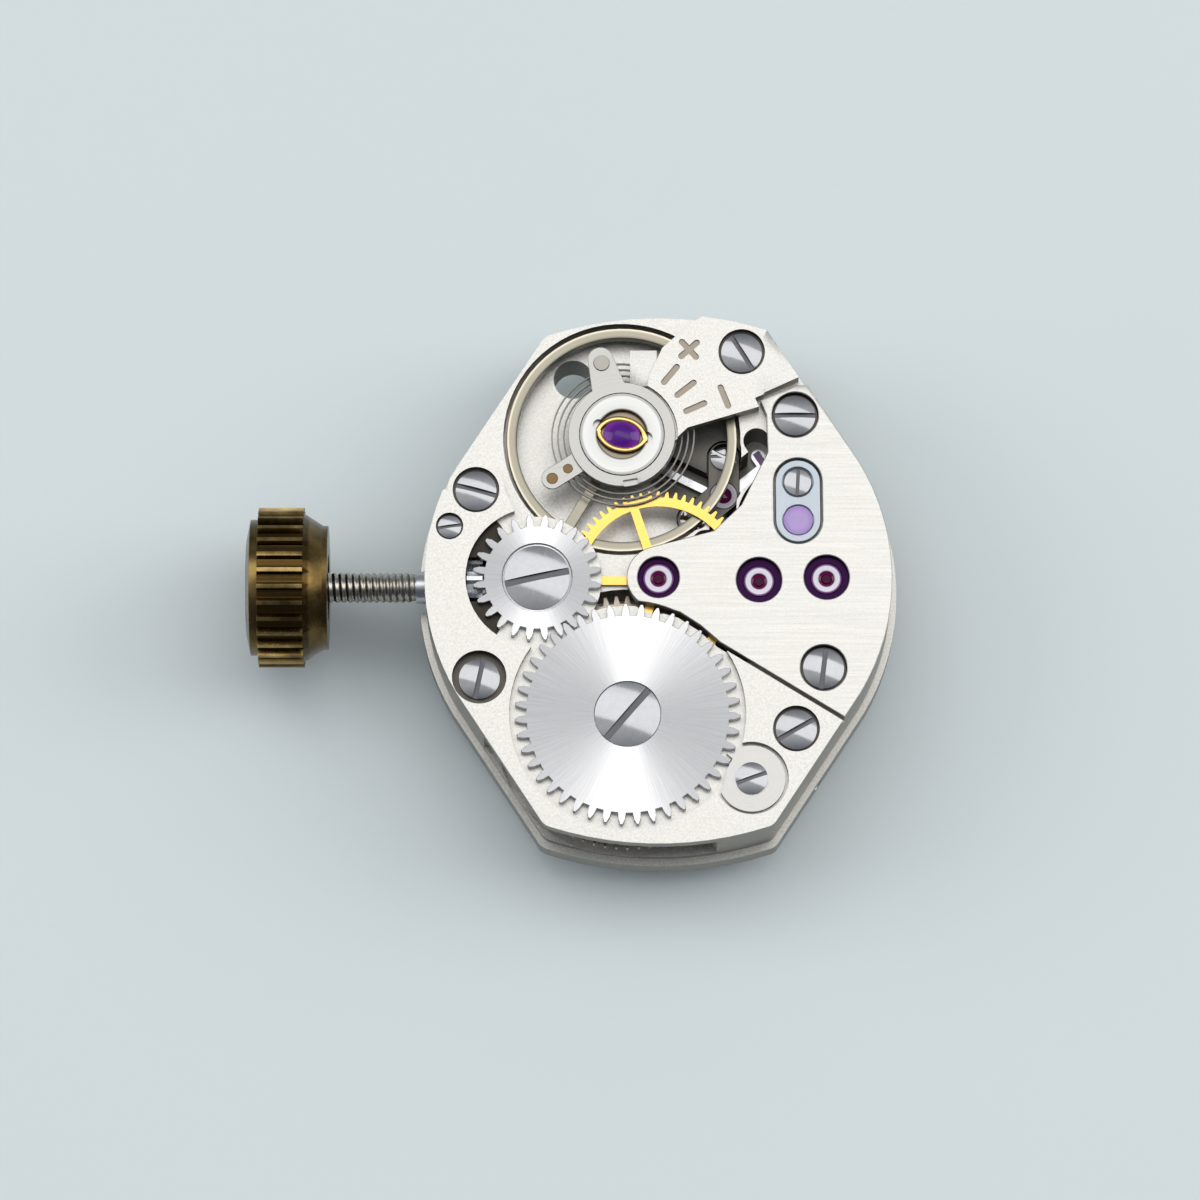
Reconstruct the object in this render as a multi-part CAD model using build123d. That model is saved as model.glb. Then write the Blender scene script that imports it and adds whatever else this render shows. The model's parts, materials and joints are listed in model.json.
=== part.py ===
from build123d import *
import math
import os

# A small hand-wound lever watch movement: shaped plate, three bridges, going train, lever
# escapement, winding and setting work, motion work, stem and crown. Millimetres and degrees.
# The origin is the centre arbor's axis on the dial seat, and +Z points to the bridges.

# Plate outline, shared by the plate and the bridges
side_r = 8.0
side_corner_y = 4.05
end_half_width = 3.9
end_corner_y = 8.65
end_mid_y = 9.3
case_ledge = 0.22
outline_round = 0.5
overrun = 1.0

# Levels
ledge_top_z = 1.0
rim_z = 3.05
bridge_top_z = 3.60
cock_top_z = 3.70
recess_floor_z = 3.26
train_relief_z = 3.13
bridge_gap = 0.13

# Places of the arbors and pivots, as x and y
centre_at = (0.0, 0.0)
third_at = (3.44, -0.09)
fourth_at = (5.75, 0.0)
escape_at = (4.79, 2.02)
balance_at = (-1.25, 5.02)
barrel_at = (-1.06, -4.78)
crown_wheel_at = (-4.15, 0.0)
click_at = (3.16, -7.02)
pallet_distance = 2.826

# Fits
run_gap = 0.02
press_gap = 0.005
side_gap = 0.04

# Going train: tooth counts and wheel levels
barrel_teeth = 72
centre_pinion_leaves = 10
centre_teeth = 64
third_pinion_leaves = 8
third_teeth = 70
fourth_pinion_leaves = 7
fourth_teeth = 60
escape_pinion_leaves = 8
escape_teeth = 15
train_wheel_thick = 0.10
centre_wheel_z = 2.98
third_wheel_z = 2.42
fourth_wheel_z = 1.70
escape_wheel_z = 1.25
wheel_addendum_share = 0.95
wheel_dedendum_share = 1.35
wheel_tooth_shares = (0.46, 0.22)
leaf_tooth_shares = (0.36, 0.20)
pivot_r = 0.07
train_arbor_r = 0.10
third_arbor_r = 0.16
escape_arbor_r = 0.13
centre_wheel_rim_r = 2.62
centre_wheel_hub_r = 0.80
centre_wheel_spokes = 5
centre_wheel_spoke_width = 0.30
centre_wheel_spoke_deg = 108.0
train_rim_share = 0.78
train_hub_r = 0.42
train_spokes = 4
train_spoke_width = 0.18
centre_arbor_r = 0.40
centre_pivot_r = 0.15
centre_post_r = 0.19
centre_post_end_z = -1.5
centre_pinion_z = (1.95, 2.40)
third_pinion_z = (2.88, 3.10)
fourth_pinion_z = (2.38, 2.58)
escape_pinion_z = (1.66, 1.88)
escape_wheel_r = 2.08
escape_hub_r = 0.40
escape_rim_r = 1.36
escape_spokes = 4
escape_spoke_width = 0.16

# Barrel and mainspring
barrel_z = (1.20, 2.42)
barrel_tooth_z = (2.00, 2.35)
drum_r = 4.12
drum_wall = 0.20
drum_floor = 0.14
cover_thick = 0.14
arbor_core_r = 1.10
arbor_neck_r = 0.42
arbor_foot_z = 0.30
arbor_square = 0.70
mainspring_turns = 6
mainspring_thick = 0.14
mainspring_room = 0.22
mainspring_inner_r = 1.12
mainspring_lift = 0.05

# Winding work on top of the bridge
ratchet_teeth = 43
crown_wheel_teeth = 24
winding_wheel_z = (3.28, 3.56)
ratchet_tip_r = 3.85
ratchet_recess_r = 4.04
crown_wheel_tip_r = 2.21
crown_wheel_recess_r = 2.45
winding_root_depth = 0.40
winding_tooth_shares = (0.56, 0.44, 0.16)
big_screw_head_r = 1.12
big_screw_head = 0.16
big_screw_ring_r = 1.20
ratchet_slot_deg = 49.5
crown_slot_deg = 12.0
big_slot_width = 0.22
big_screw_shank_r = 0.30
crown_core_r = 0.90
click_r = 1.15
click_recess_r = 1.26
click_thick = 0.22
click_swing_deg = 18.0
click_beak_half_width = 0.13
click_beak_share = 0.55
click_screw_r = 0.55
click_screw_head = 0.14
click_slot_deg = 20.0
click_hub_r = 0.32
click_spring_r = 0.90
click_spring_width = 0.10
click_spring_start_deg = -20.0
click_spring_sweep_deg = 170.0
click_groove_depth = 0.15

# Escapement and balance
escapement_z = (1.20, 1.40)
fork_arm_half_width = 0.17
fork_tail_half_width = 0.13
fork_tip_half_width = 0.24
fork_notch_half_width = 0.085
fork_notch_depth = 0.32
pallet_stone_width = 0.24
pallet_stone_length = 1.15
pallet_half_angle = 42.0
pallet_lean = 12.0
pallet_lock = 0.03
pallet_hub_r = 0.30
pallet_arbor_r = 0.12
pallet_arbor_top_z = 1.86
pallet_cock_z = (1.62, 1.95)
impulse_orbit_r = 0.75
impulse_pin_r = 0.06
impulse_pin_z = (1.18, 1.46)
roller_r = 0.98
roller_z = (1.46, 1.58)
safety_roller_r = 0.40
safety_roller_z = (1.24, 1.46)
staff_z = (0.31, 3.49)
staff_pivot_r = 0.06
staff_pivot_length = 0.16
staff_body_r = 0.20
staff_hub_r = 0.50
staff_seat_r = 0.30
collet_r = 0.46
collet_z = (3.02, 3.25)
rim_outer_r = 3.96
rim_width = 0.34
rim_levels_z = (2.45, 2.90)
arm_levels_z = (2.62, 2.78)
balance_arm_width = 0.36
balance_arm_deg = 59.0
balance_hub_r = 0.62
hairspring_turns = 10
hairspring_z = (3.12, 3.24)
hairspring_thick = 0.05
hairspring_inner_r = 0.50
hairspring_outer_r = 2.56

# Balance cock, index and shock settings
shelf_z = (3.30, 3.46)
shelf_r = 1.72
setting_bore_r = 1.00
setting_flange_r = 1.44
index_ring_r = 1.84
index_ring_z = (3.47, 3.57)
stud_ring_z = (3.58, 3.68)
index_arm_deg = 212.8
index_arm_tip = 2.84
index_arm_half_width = 0.37
stud_arm_deg = 105.5
stud_arm_root_half_width = 0.62
stud_arm_tip_half_width = 0.44
stud_orbit_r = 2.61
stud_r = 0.26
stud_pin_r = 0.14
stud_head_z = 3.36
stud_z = (3.05, 3.74)
curb_pins = ((2.20, 0.15, 2.31), (2.84, 0.18, 2.50))
curb_wire_r = 0.04
curb_foot_half_width = 0.08
curb_foot_z = 3.30
curb_wire_end_z = 3.05
setting_well_r = 0.86
setting_well_depth = 0.22
setting_ear_deg = (158.0, -8.0)
setting_ear_r = 0.20
cap_jewel_r = 0.62
cap_jewel_thick = 0.14
hole_jewel_thick = 0.12
hole_jewel_r = 0.55
jewel_gap = 0.02
lyre_wire = 0.08
lyre_half_gap = 0.36
lyre_turn_deg = -12.0
lower_setting_z = 0.10
cock_foot_clear = 0.06
balance_pocket_clear = 0.12

# Jewels
train_jewel_r = 0.52
train_jewel_thick = 0.22
train_jewel_sink_r = 0.31
train_jewel_sink = 0.10
bridge_sink_r = (0.72, 0.785, 0.78)
lower_jewel_r = 0.30
lower_jewel_thick = 0.20
pallet_jewel_r = 0.46
endstone_r = 0.50
endstone_plate_half_width = 0.80
endstone_plate_thick = 0.16

# Screws, as head radius, head height, slot width, shank radius and shank length
bridge_screw = (0.70, 0.26, 0.16, 0.30, 1.35)
bridge_recess_r = 0.80
low_recess_r = 0.93
small_screw = (0.46, 0.18, 0.10, 0.20, 0.45)
lever_screw = (0.40, 0.22, 0.10, 0.22, 2.92)
lever_recess_r = 0.47
slot_depth_share = 0.45
screw_sink = 0.04
barrel_bridge_screws = ((-6.25, 3.08, -15.0), (-6.12, -3.50, 78.0), (4.69, -5.30, 30.0))
train_bridge_screws = ((4.70, 5.73, 0.0), (5.63, -3.17, 83.0))
cock_screw = (2.87, 7.94, -58.0)
endstone_screw_at = (4.78, 3.36, 87.0)
lever_screw_at = (-7.15, 1.80, 8.0)
cover_screws = ((-6.30, 3.05, 20.0), (-3.30, 2.35, -35.0))

# Stem, crown and clutch on the X axis
stem_z = 2.00
stem_thread_r = 0.445
stem_body_r = 0.55
stem_groove_r = 0.27
stem_pilot_r = 0.20
stem_square = 0.56
stem_neck_r = 0.38
stem_stations_x = (-12.20, -8.30, -7.17, -6.83, -6.62, -5.60, -3.75, -2.95)
stem_pull = 0.45
crown_dome_x = -14.13
crown_knurl_x = (-13.71, -12.15)
crown_skirt_x = -11.50
crown_face_x = -11.33
crown_r = 2.75
crown_cap_r = 2.34
crown_root_r = 2.55
crown_skirt_r = 2.13
crown_flutes = 30
crown_flute_share = 0.50
crown_bore_r = 0.47
crown_throat_r = 1.15
crown_throat_depth = 0.55
winding_pinion_teeth = 15
winding_pinion_x = (-6.56, -5.62)
winding_pinion_face_x = -6.02
winding_pinion_tip_r = 1.44
winding_pinion_root_r = 1.06
winding_pinion_shares = (0.52, 0.24)
saw_teeth = 8
saw_depth = 0.16
saw_inner_r = 0.48
saw_outer_r = 0.80
clutch_x = (-5.60, -4.15)
clutch_groove_x = (-5.12, -4.82)
clutch_groove_r = 0.55
clutch_flange_x = -4.52
clutch_tip_r = 0.95
clutch_root_r = 0.80
clutch_teeth = 16
clutch_shares = (0.52, 0.30)
stem_window_x = (-6.60, -3.72)
clutch_room = 0.10

# Setting work and motion work on the dial side
keyless_pocket_z = 0.80
keyless_room = 0.20
lever_plate_z = (0.45, 0.70)
lever_nose_r = 0.13
lever_nose_top_z = 1.68
lever_hub_r = 0.45
lever_arm_half_width = 0.20
lever_beak_at = (-5.60, 2.30)
lever_pin_at = (-6.72, 0.80)
lever_pin_r = 0.09
yoke_pivot_at = (-5.30, 3.10)
yoke_tip_x = -4.97
yoke_half_width = 0.18
yoke_hub_r = 0.40
yoke_post_r = 0.18
yoke_tip_width = 0.20
yoke_tip_length = 0.50
yoke_tip_top_z = 1.38
yoke_spring_points = ((-4.25, 3.15), (-4.45, 1.30), (-4.72, 0.95))
yoke_spring_width = 0.12
cover_plate_z = (0.12, 0.30)
cover_boss_r = 0.42
cover_arm_half_width = 0.12
cover_arm_end = (-6.50, 0.72)
motion_module = 0.11
cannon_leaves = 10
minute_teeth = 30
minute_leaves = 8
hour_teeth = 32
setting_teeth = 16
setting_at = (-3.05, 0.45)
motion_wheel_z = (0.92, 1.12)
cannon_leaf_z = (0.86, 1.15)
minute_leaf_z = (0.50, 0.92)
hour_wheel_z = (0.55, 0.72)
cannon_pipe_r = 0.51
cannon_pipe_end_z = -1.35
minute_seat_r = 0.35
minute_seat_length = 0.55
hour_pipe_r = 0.72
hour_pipe_end_z = -0.75
motion_pocket_z = 1.18
motion_post_r = 0.18
pocket_clear = 0.10

# Holes through the plate
dial_foot_r = 0.36
dial_foot_depth = 0.90
dial_foot_at = (4.60, -6.10)
dial_screw_r = 0.22
dial_screw_length = 0.40
dial_screw_z = 0.45
side_hole_at = (-2.92, 7.40)
side_hole_r = 0.68

# Outline of the train bridge, as shares of the centre arbor's distance to the fourth arbor
train_upper_shares = (
    (0.330, 0.285), (0.495, 0.445), (0.608, 0.678), (0.653, 0.765), (0.647, 0.995),
    (0.608, 1.084), (0.824, 1.178), (1.113, 1.178),
)
train_lower_shares = ((0.365, -0.397), (0.246, -0.292), (0.127, -0.214))
train_tongue_r = 1.09
train_tongue_deg = (105.0, -80.0)
train_edge_deg = -31.7

# Corners of the barrel bridge, seen from the crown wheel's and the barrel's arbors
screw_lobe_r = 0.98
barrel_bridge_notch_deg = 108.5
barrel_bridge_shoulder_deg = 44.0

# Outline of the balance cock, as shares of the balance's radius, from its staff
cock_outer_shares = (
    (0.718, 1.076), (1.233, 0.975), (1.536, 0.510), (1.235, 0.371), (1.198, 0.247),
    (0.570, 0.058), (0.467, -0.041),
)
cock_inner_shares = ((0.194, 0.298), (0.237, 0.518), (0.350, 0.771), (0.457, 0.868))
shelf_corner_shares = ((0.071, 0.441), (0.304, 0.441), (0.304, 0.763), (0.071, 0.763))
cock_arc_r = 1.92

# The slot in the plate's side beside the barrel
barrel_window_deg = (188.0, 217.0, 246.0, 275.0, 305.0)
barrel_window_sill = 0.15

# Further sizes of the wells, feet and small pieces
centre_well_r = 0.85
balance_floor_z = 1.95
roller_pocket_z = 1.05
pallet_pocket_z = 1.12
pallet_way_half = 0.45
pallet_foot_r = 0.55
pallet_foot_reach = 1.35
pallet_foot_deg = (-64.0, 66.0)
pallet_slot_deg = (0.0, -50.0)
arbor_boss_r = 1.00
lower_setting_r = 1.00
cap_jewel_depth = 0.06
stone_hold_share = 0.36
stud_notch_deg = -80.0
stud_notch_depth = 0.44
stud_notch_width = 0.50
escape_phase = 3.0
escape_tooth_shares = (
    (0.78, 0.06), (0.90, 0.02), (0.965, -0.08), (1.00, 0.10), (0.86, 0.17), (0.78, 0.30),
)
winding_shoulder_share = 0.45
big_screw_shank = 0.60
click_beak_lead = 4.0
click_beak_reach = 0.40
click_clear_steps = 3
crown_dome_share = 0.72
lever_beak_half_width = 0.14


def polar(radius, degrees, at=(0.0, 0.0)):
    """The point at a radius and angle from a place."""
    turn = math.radians(degrees)
    return (at[0] + radius * math.cos(turn), at[1] + radius * math.sin(turn))


def bearing(a, b):
    """The direction from a to b in degrees."""
    return math.degrees(math.atan2(b[1] - a[1], b[0] - a[0]))


def mesh_phase(phase, teeth, at, other_at, other_teeth):
    """The angle of a tooth on the other gear that puts it in mesh with this one."""
    line = bearing(at, other_at)
    pitch = 360 / teeth
    off = (phase - line + pitch / 2) % pitch - pitch / 2
    return line + 180 - off * teeth / other_teeth + 180 / other_teeth


def crossing(a, ra, b, rb):
    """The upper crossing of the circles of radius ra about a and rb about b."""
    d = math.dist(a, b)
    along = (d * d + ra * ra - rb * rb) / (2 * d)
    lift = math.sqrt(ra * ra - along * along)
    line = bearing(a, b)
    return polar(lift, line - 90, polar(along, line, a))


def circle(at, radius):
    return Pos(at[0], at[1]) * Circle(radius)


def bar(a, b, half_width):
    """A flat bar with round ends from a to b."""
    middle = Pos((a[0] + b[0]) / 2, (a[1] + b[1]) / 2)
    return middle * Rot(0, 0, bearing(a, b)) * SlotCenterToCenter(math.dist(a, b), 2 * half_width)


def prism(face, levels):
    """A flat face stood up between two levels."""
    return extrude(Pos(0, 0, levels[0]) * face, levels[1] - levels[0], dir=(0, 0, 1))


def disc(at, radius, levels):
    return prism(circle(at, radius), levels)


def ring(at, outer_r, inner_r, levels):
    return prism(circle(at, outer_r) - circle(at, inner_r), levels)


def turned(at, profile):
    """A round piece from its half profile, as radius and level."""
    outline = Polyline(*[(r, 0, z) for r, z in profile], close=True)
    return Pos(at[0], at[1]) * revolve(make_face(outline), Axis.Z)


def stepped(at, steps):
    """A stepped arbor, from (radius, top level) pairs above a first level."""
    profile = [(0, steps[0])]
    low = steps[0]
    for radius, top in steps[1:]:
        profile += [(radius, low), (radius, top)]
        low = top
    profile.append((0, low))
    return turned(at, profile)


def gear_face(teeth, corners, phase, at=(0.0, 0.0)):
    """A toothed disc; each tooth is a list of (radius, share of the pitch) corners."""
    pitch = 360 / teeth
    points = [
        polar(radius, phase + pitch * (n + share), at)
        for n in range(teeth)
        for radius, share in corners
    ]
    return make_face(Polyline(*points, close=True))


def tooth(root_r, tip_r, shares):
    """A tooth of two flanks: its shares are its width at the root and at the tip."""
    root, tip = shares[0] / 2, shares[1] / 2
    return [(root_r, -root), (tip_r, -tip), (tip_r, tip), (root_r, root)]


def full_tooth(root_r, middle_r, tip_r, shares):
    """A tooth with a shoulder: its shares are its width at root, shoulder and tip."""
    root, middle, tip = shares[0] / 2, shares[1] / 2, shares[2] / 2
    low = [(root_r, -root), (middle_r, -middle), (tip_r, -tip)]
    return low + [(radius, -share) for radius, share in reversed(low)]


def module(a, b, teeth, leaves):
    return 2 * math.dist(a, b) / (teeth + leaves)


def wheel_face(m, teeth, phase, at):
    pitch_r = m * teeth / 2
    corners = tooth(
        pitch_r - wheel_dedendum_share * m,
        pitch_r + wheel_addendum_share * m,
        (wheel_tooth_shares[0] + leaf_tooth_shares[1] / 2, wheel_tooth_shares[1]),
    )
    return gear_face(teeth, corners, phase, at)


def leaves_face(m, leaves, phase, at):
    pitch_r = m * leaves / 2
    corners = tooth(
        pitch_r - wheel_dedendum_share * m, pitch_r + wheel_addendum_share * m, leaf_tooth_shares
    )
    return gear_face(leaves, corners, phase, at)


def crossings(at, rim_r, hub_r, spokes, spoke_width, first_deg):
    """The windows between a wheel's spokes."""
    windows = circle(at, rim_r) - circle(at, hub_r)
    for n in range(spokes):
        middle = Pos(*polar(rim_r / 2, first_deg + 360 * n / spokes, at))
        turn = Rot(0, 0, first_deg + 360 * n / spokes)
        windows -= middle * turn * Rectangle(rim_r + spoke_width, spoke_width)
    return windows


def train_windows(at, rim_r, first_deg):
    return crossings(at, rim_r, train_hub_r, train_spokes, train_spoke_width, first_deg)


def screw(size, at, top_z):
    """A slotted screw whose head's top is at a level; at holds x, y and the slot's angle."""
    head_r, head, slot_width, shank_r, shank = size
    body = stepped((0, 0), (top_z - head - shank, (shank_r, top_z - head), (head_r, top_z)))
    cut = Box(2 * head_r + overrun, slot_width, 2 * head * slot_depth_share)
    body -= Pos(0, 0, top_z) * cut
    return Pos(at[0], at[1]) * Rot(0, 0, at[2]) * body


def spiral_face(inner_r, outer_r, turns, thick, start_deg, at):
    """A flat ribbon wound as a spiral of half-turn arcs, as one face."""
    step = (outer_r - inner_r) / (2 * turns)
    outer, inner = [], []
    shift = 0.0
    for n in range(2 * turns):
        radius = inner_r + step * (n + 1 / 2)
        side = 1 if n % 2 == 0 else -1
        for rails, r in ((outer, radius + thick / 2), (inner, radius - thick / 2)):
            rails.append(CenterArc((shift, 0), r, 0 if side > 0 else 180, 180))
        end = shift - side * radius
        shift = end + side * (radius + step)
    caps = [
        Line(outer[0] @ 0, inner[0] @ 0),
        Line(outer[-1] @ 1, inner[-1] @ 1),
    ]
    face = make_face(outer + inner + caps)
    return Pos(at[0], at[1]) * Rot(0, 0, start_deg) * face


def plate_face(ledge=0.0):
    """The movement's outline: two round sides, two gently round ends, four slants."""
    grow = 1 + ledge / side_r
    side_x = math.sqrt(side_r**2 - side_corner_y**2)

    def spot(x, y):
        return (x * grow, y * grow)

    right = ThreePointArc(spot(side_x, -side_corner_y), spot(side_r, 0), spot(side_x, side_corner_y))
    top = ThreePointArc(
        spot(end_half_width, end_corner_y), spot(0, end_mid_y), spot(-end_half_width, end_corner_y)
    )
    left = ThreePointArc(spot(-side_x, side_corner_y), spot(-side_r, 0), spot(-side_x, -side_corner_y))
    bottom = ThreePointArc(
        spot(-end_half_width, -end_corner_y), spot(0, -end_mid_y), spot(end_half_width, -end_corner_y)
    )
    sides = [right, Line(right @ 1, top @ 0), top, Line(top @ 1, left @ 0)]
    sides += [left, Line(left @ 1, bottom @ 0), bottom, Line(bottom @ 1, right @ 0)]
    face = make_face(sides)
    ends = [v for v in face.vertices() if abs(v.Y) > (side_corner_y + end_corner_y) / 2]
    return fillet(ends, outline_round)


# Gear phases: each pair is in mesh at rest
barrel_phase = 0.0
centre_pinion_phase = mesh_phase(
    barrel_phase, barrel_teeth, barrel_at, centre_at, centre_pinion_leaves
)
centre_phase = 0.0
third_pinion_phase = mesh_phase(
    centre_phase, centre_teeth, centre_at, third_at, third_pinion_leaves
)
third_phase = 0.0
fourth_pinion_phase = mesh_phase(
    third_phase, third_teeth, third_at, fourth_at, fourth_pinion_leaves
)
fourth_phase = 0.0
escape_pinion_phase = mesh_phase(
    fourth_phase, fourth_teeth, fourth_at, escape_at, escape_pinion_leaves
)
crown_wheel_phase = 180 + 180 / crown_wheel_teeth
ratchet_phase = mesh_phase(
    crown_wheel_phase, crown_wheel_teeth, crown_wheel_at, barrel_at, ratchet_teeth
)
motion_distance = motion_module * (cannon_leaves + minute_teeth) / 2
setting_distance = motion_module * (setting_teeth + minute_teeth) / 2
minute_at = crossing(centre_at, motion_distance, setting_at, setting_distance)
cannon_phase = 0.0
minute_phase = mesh_phase(cannon_phase, cannon_leaves, centre_at, minute_at, minute_teeth)
minute_pinion_phase = 0.0
hour_phase = mesh_phase(minute_pinion_phase, minute_leaves, minute_at, centre_at, hour_teeth)
setting_phase = mesh_phase(minute_phase, minute_teeth, minute_at, setting_at, setting_teeth)
escape_line_deg = bearing(escape_at, balance_at)
pallet_at = polar(pallet_distance, escape_line_deg, escape_at)
barrel_module = module(barrel_at, centre_at, barrel_teeth, centre_pinion_leaves)
centre_module = module(centre_at, third_at, centre_teeth, third_pinion_leaves)
third_module = module(third_at, fourth_at, third_teeth, fourth_pinion_leaves)
fourth_module = module(fourth_at, escape_at, fourth_teeth, escape_pinion_leaves)


def tip_r(m, teeth):
    return m * (teeth / 2 + wheel_addendum_share)


barrel_pocket_r = tip_r(barrel_module, barrel_teeth) + pocket_clear
centre_pocket_r = tip_r(centre_module, centre_teeth) + pocket_clear
third_pocket_r = tip_r(third_module, third_teeth) + side_gap
fourth_pocket_r = tip_r(fourth_module, fourth_teeth) + side_gap
escape_pocket_r = escape_wheel_r + side_gap


def share_points(shares, size, at=(0.0, 0.0)):
    """Corners given as shares of a size, from a place."""
    return [(at[0] + size * x, at[1] + size * y) for x, y in shares]


def outline(points):
    return make_face(Polyline(*points, close=True))


def train_bridge_face(gap=0.0):
    """The train bridge: a tongue over the centre arbor that widens to the plate's edge."""
    first, last = train_tongue_deg
    reach = math.dist(centre_at, fourth_at)
    lower = share_points(train_lower_shares, reach, centre_at)
    points = [polar(train_tongue_r, first, centre_at)]
    points += share_points(train_upper_shares, reach, centre_at)
    points += [(side_r + overrun, 0), polar(side_r, train_edge_deg, lower[0])] + lower
    points.append(polar(train_tongue_r, last, centre_at))
    face = outline(points) + circle(centre_at, train_tongue_r)
    return offset(face, gap, kind=Kind.INTERSECTION) if gap else face


def barrel_bridge_face():
    """The barrel bridge's high part, left and below, before its recesses."""
    screw_x, screw_y = barrel_bridge_screws[0][:2]
    far_x, far_y = side_r + overrun, end_mid_y + overrun
    notch = polar(crown_wheel_recess_r + bridge_gap, barrel_bridge_notch_deg, crown_wheel_at)
    shoulder = polar(ratchet_tip_r, barrel_bridge_shoulder_deg, barrel_at)
    points = [(-far_x, screw_y), (screw_x + screw_lobe_r, screw_y), notch, crown_wheel_at, barrel_at]
    points += [shoulder, (far_x, shoulder[1]), (far_x, -far_y), (-far_x, -far_y)]
    region = outline(points) + circle((screw_x, screw_y), screw_lobe_r)
    return (plate_face() & region) - train_bridge_face(bridge_gap)


def cock_face():
    points = share_points(cock_outer_shares + cock_inner_shares, rim_outer_r, balance_at)
    return (plate_face() & outline(points)) - train_bridge_face(bridge_gap)


def balance_pocket_r():
    return rim_outer_r + balance_pocket_clear


def recess_level(size, low=0.0):
    return bridge_top_z - size[1] - screw_sink - low


def screw_hole(at, size, recess_r, floor_z, top_z):
    """A screw's recess with its through hole."""
    head = disc(at, recess_r, (floor_z, top_z + overrun))
    return [head, disc(at, size[3] + run_gap, (floor_z - size[4] - side_gap, floor_z))]


def along_x(shape):
    """Lays a piece built along Z on the stem's axis."""
    return Pos(0, 0, stem_z) * Rot(0, 90, 0) * shape


def x_disc(radius, stations):
    return along_x(disc((0, 0), radius, stations))


def span_box(xs, ys, zs):
    """A box between two x, two y and two z values."""
    size = [b - a for a, b in (xs, ys, zs)]
    middle = [(a + b) / 2 for a, b in (xs, ys, zs)]
    return Pos(*middle) * Box(*size)


def joined(pieces):
    whole = pieces[0]
    for piece in pieces[1:]:
        whole = whole + piece
    return whole


def low_recess_level():
    return recess_level(bridge_screw, bridge_screw[1] / 2)


def bridge_screw_seats():
    """Where each large screw sits: its place, recess radius, and the top of its head."""
    flush = bridge_top_z - screw_sink
    low = low_recess_level() + bridge_screw[1]
    first, second, third = barrel_bridge_screws
    seats = [(first, bridge_recess_r, flush), (second, low_recess_r, low)]
    seats += [(third, bridge_recess_r, flush)]
    return seats + [(at, bridge_recess_r, flush) for at in train_bridge_screws]


def bridge_screws():
    screws = [screw(bridge_screw, at, top) for at, _, top in bridge_screw_seats()]
    return Compound(screws + [screw(bridge_screw, cock_screw, cock_top_z - screw_sink)])


def bridge_holes(seats):
    cuts = []
    for at, recess_r, top in seats:
        cuts += screw_hole(at, bridge_screw, recess_r, top - bridge_screw[1], bridge_top_z)
    return cuts


def pallet_feet():
    """The two screws of the pallet cock, either side of the fork's way."""
    return [
        polar(pallet_foot_reach, escape_line_deg + place, pallet_at) + (escape_line_deg + slot,)
        for place, slot in zip(pallet_foot_deg, pallet_slot_deg)
    ]


def pallet_stone_places():
    """Middle and direction of the two pallet stones, at the escape wheel's rim."""
    places = []
    for side in (-1, 1):
        direction = escape_line_deg + side * pallet_half_angle
        tip = polar(escape_wheel_r + pallet_lock, direction, escape_at)
        lean = direction - side * pallet_lean
        places.append((polar(pallet_stone_length / 2, lean, tip), lean))
    return places


def stone_face(place, slack=0.0):
    middle, direction = place
    block = Rectangle(pallet_stone_length, pallet_stone_width + 2 * slack)
    return Pos(*middle) * Rot(0, 0, direction) * block


def fork_tip():
    reach = math.dist(pallet_at, balance_at) - impulse_orbit_r
    return polar(reach, escape_line_deg, pallet_at)


def motion_r(teeth):
    return motion_module * (teeth / 2 + wheel_addendum_share)


def train_pockets():
    """The wells of the plate's bridge side for the wheels and the pallets."""
    top = rim_z + overrun
    wells = [
        (barrel_at, barrel_pocket_r, barrel_z[0] - side_gap),
        (centre_at, centre_pocket_r, centre_wheel_z - train_wheel_thick),
        (centre_at, centre_well_r, centre_pinion_z[0] - side_gap),
        (third_at, third_pocket_r, third_wheel_z - pocket_clear / 2),
        (fourth_at, fourth_pocket_r, fourth_wheel_z - side_gap),
        (escape_at, escape_pocket_r, escape_wheel_z - pocket_clear),
        (balance_at, balance_pocket_r(), balance_floor_z),
        (balance_at, roller_r + pocket_clear, roller_pocket_z),
        (pallet_at, pallet_foot_r, pallet_pocket_z),
    ]
    cuts = [disc(at, radius, (floor, top)) for at, radius, floor in wells]
    ways = [(pallet_at, fork_tip())]
    for middle, lean in pallet_stone_places():
        ends = [polar(side * pallet_stone_length / 2, lean, middle) for side in (-1, 1)]
        ways += [tuple(ends), (pallet_at, middle)]
    cuts += [prism(bar(a, b, pallet_way_half), (pallet_pocket_z, top)) for a, b in ways]
    cuts.append(prism(pallet_cock_face(side_gap), (pallet_cock_z[0], top)))
    return cuts


def barrel_window():
    """The open slot in the plate's side beside the barrel."""
    rays = [polar(2 * side_r, angle, barrel_at) for angle in barrel_window_deg]
    return prism(outline([barrel_at] + rays), (barrel_z[0] + barrel_window_sill, rim_z + overrun))


def lower_jewel_seats():
    """Place and top level of each hole jewel in the plate."""
    return [
        (third_at, third_wheel_z - pocket_clear),
        (fourth_at, escape_wheel_z - 2 * pocket_clear),
        (escape_at, escape_wheel_z - pocket_clear - side_gap),
        (pallet_at, pallet_pocket_z - side_gap),
    ]


def jewel_holes():
    cuts = [
        disc(at, lower_jewel_r + press_gap, (top - lower_jewel_thick, top + pocket_clear))
        for at, top in lower_jewel_seats()
    ]
    arbor_way = train_arbor_r + side_gap
    cuts.append(disc(fourth_at, arbor_way, (escape_wheel_z - pocket_clear, fourth_wheel_z)))
    return cuts


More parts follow.
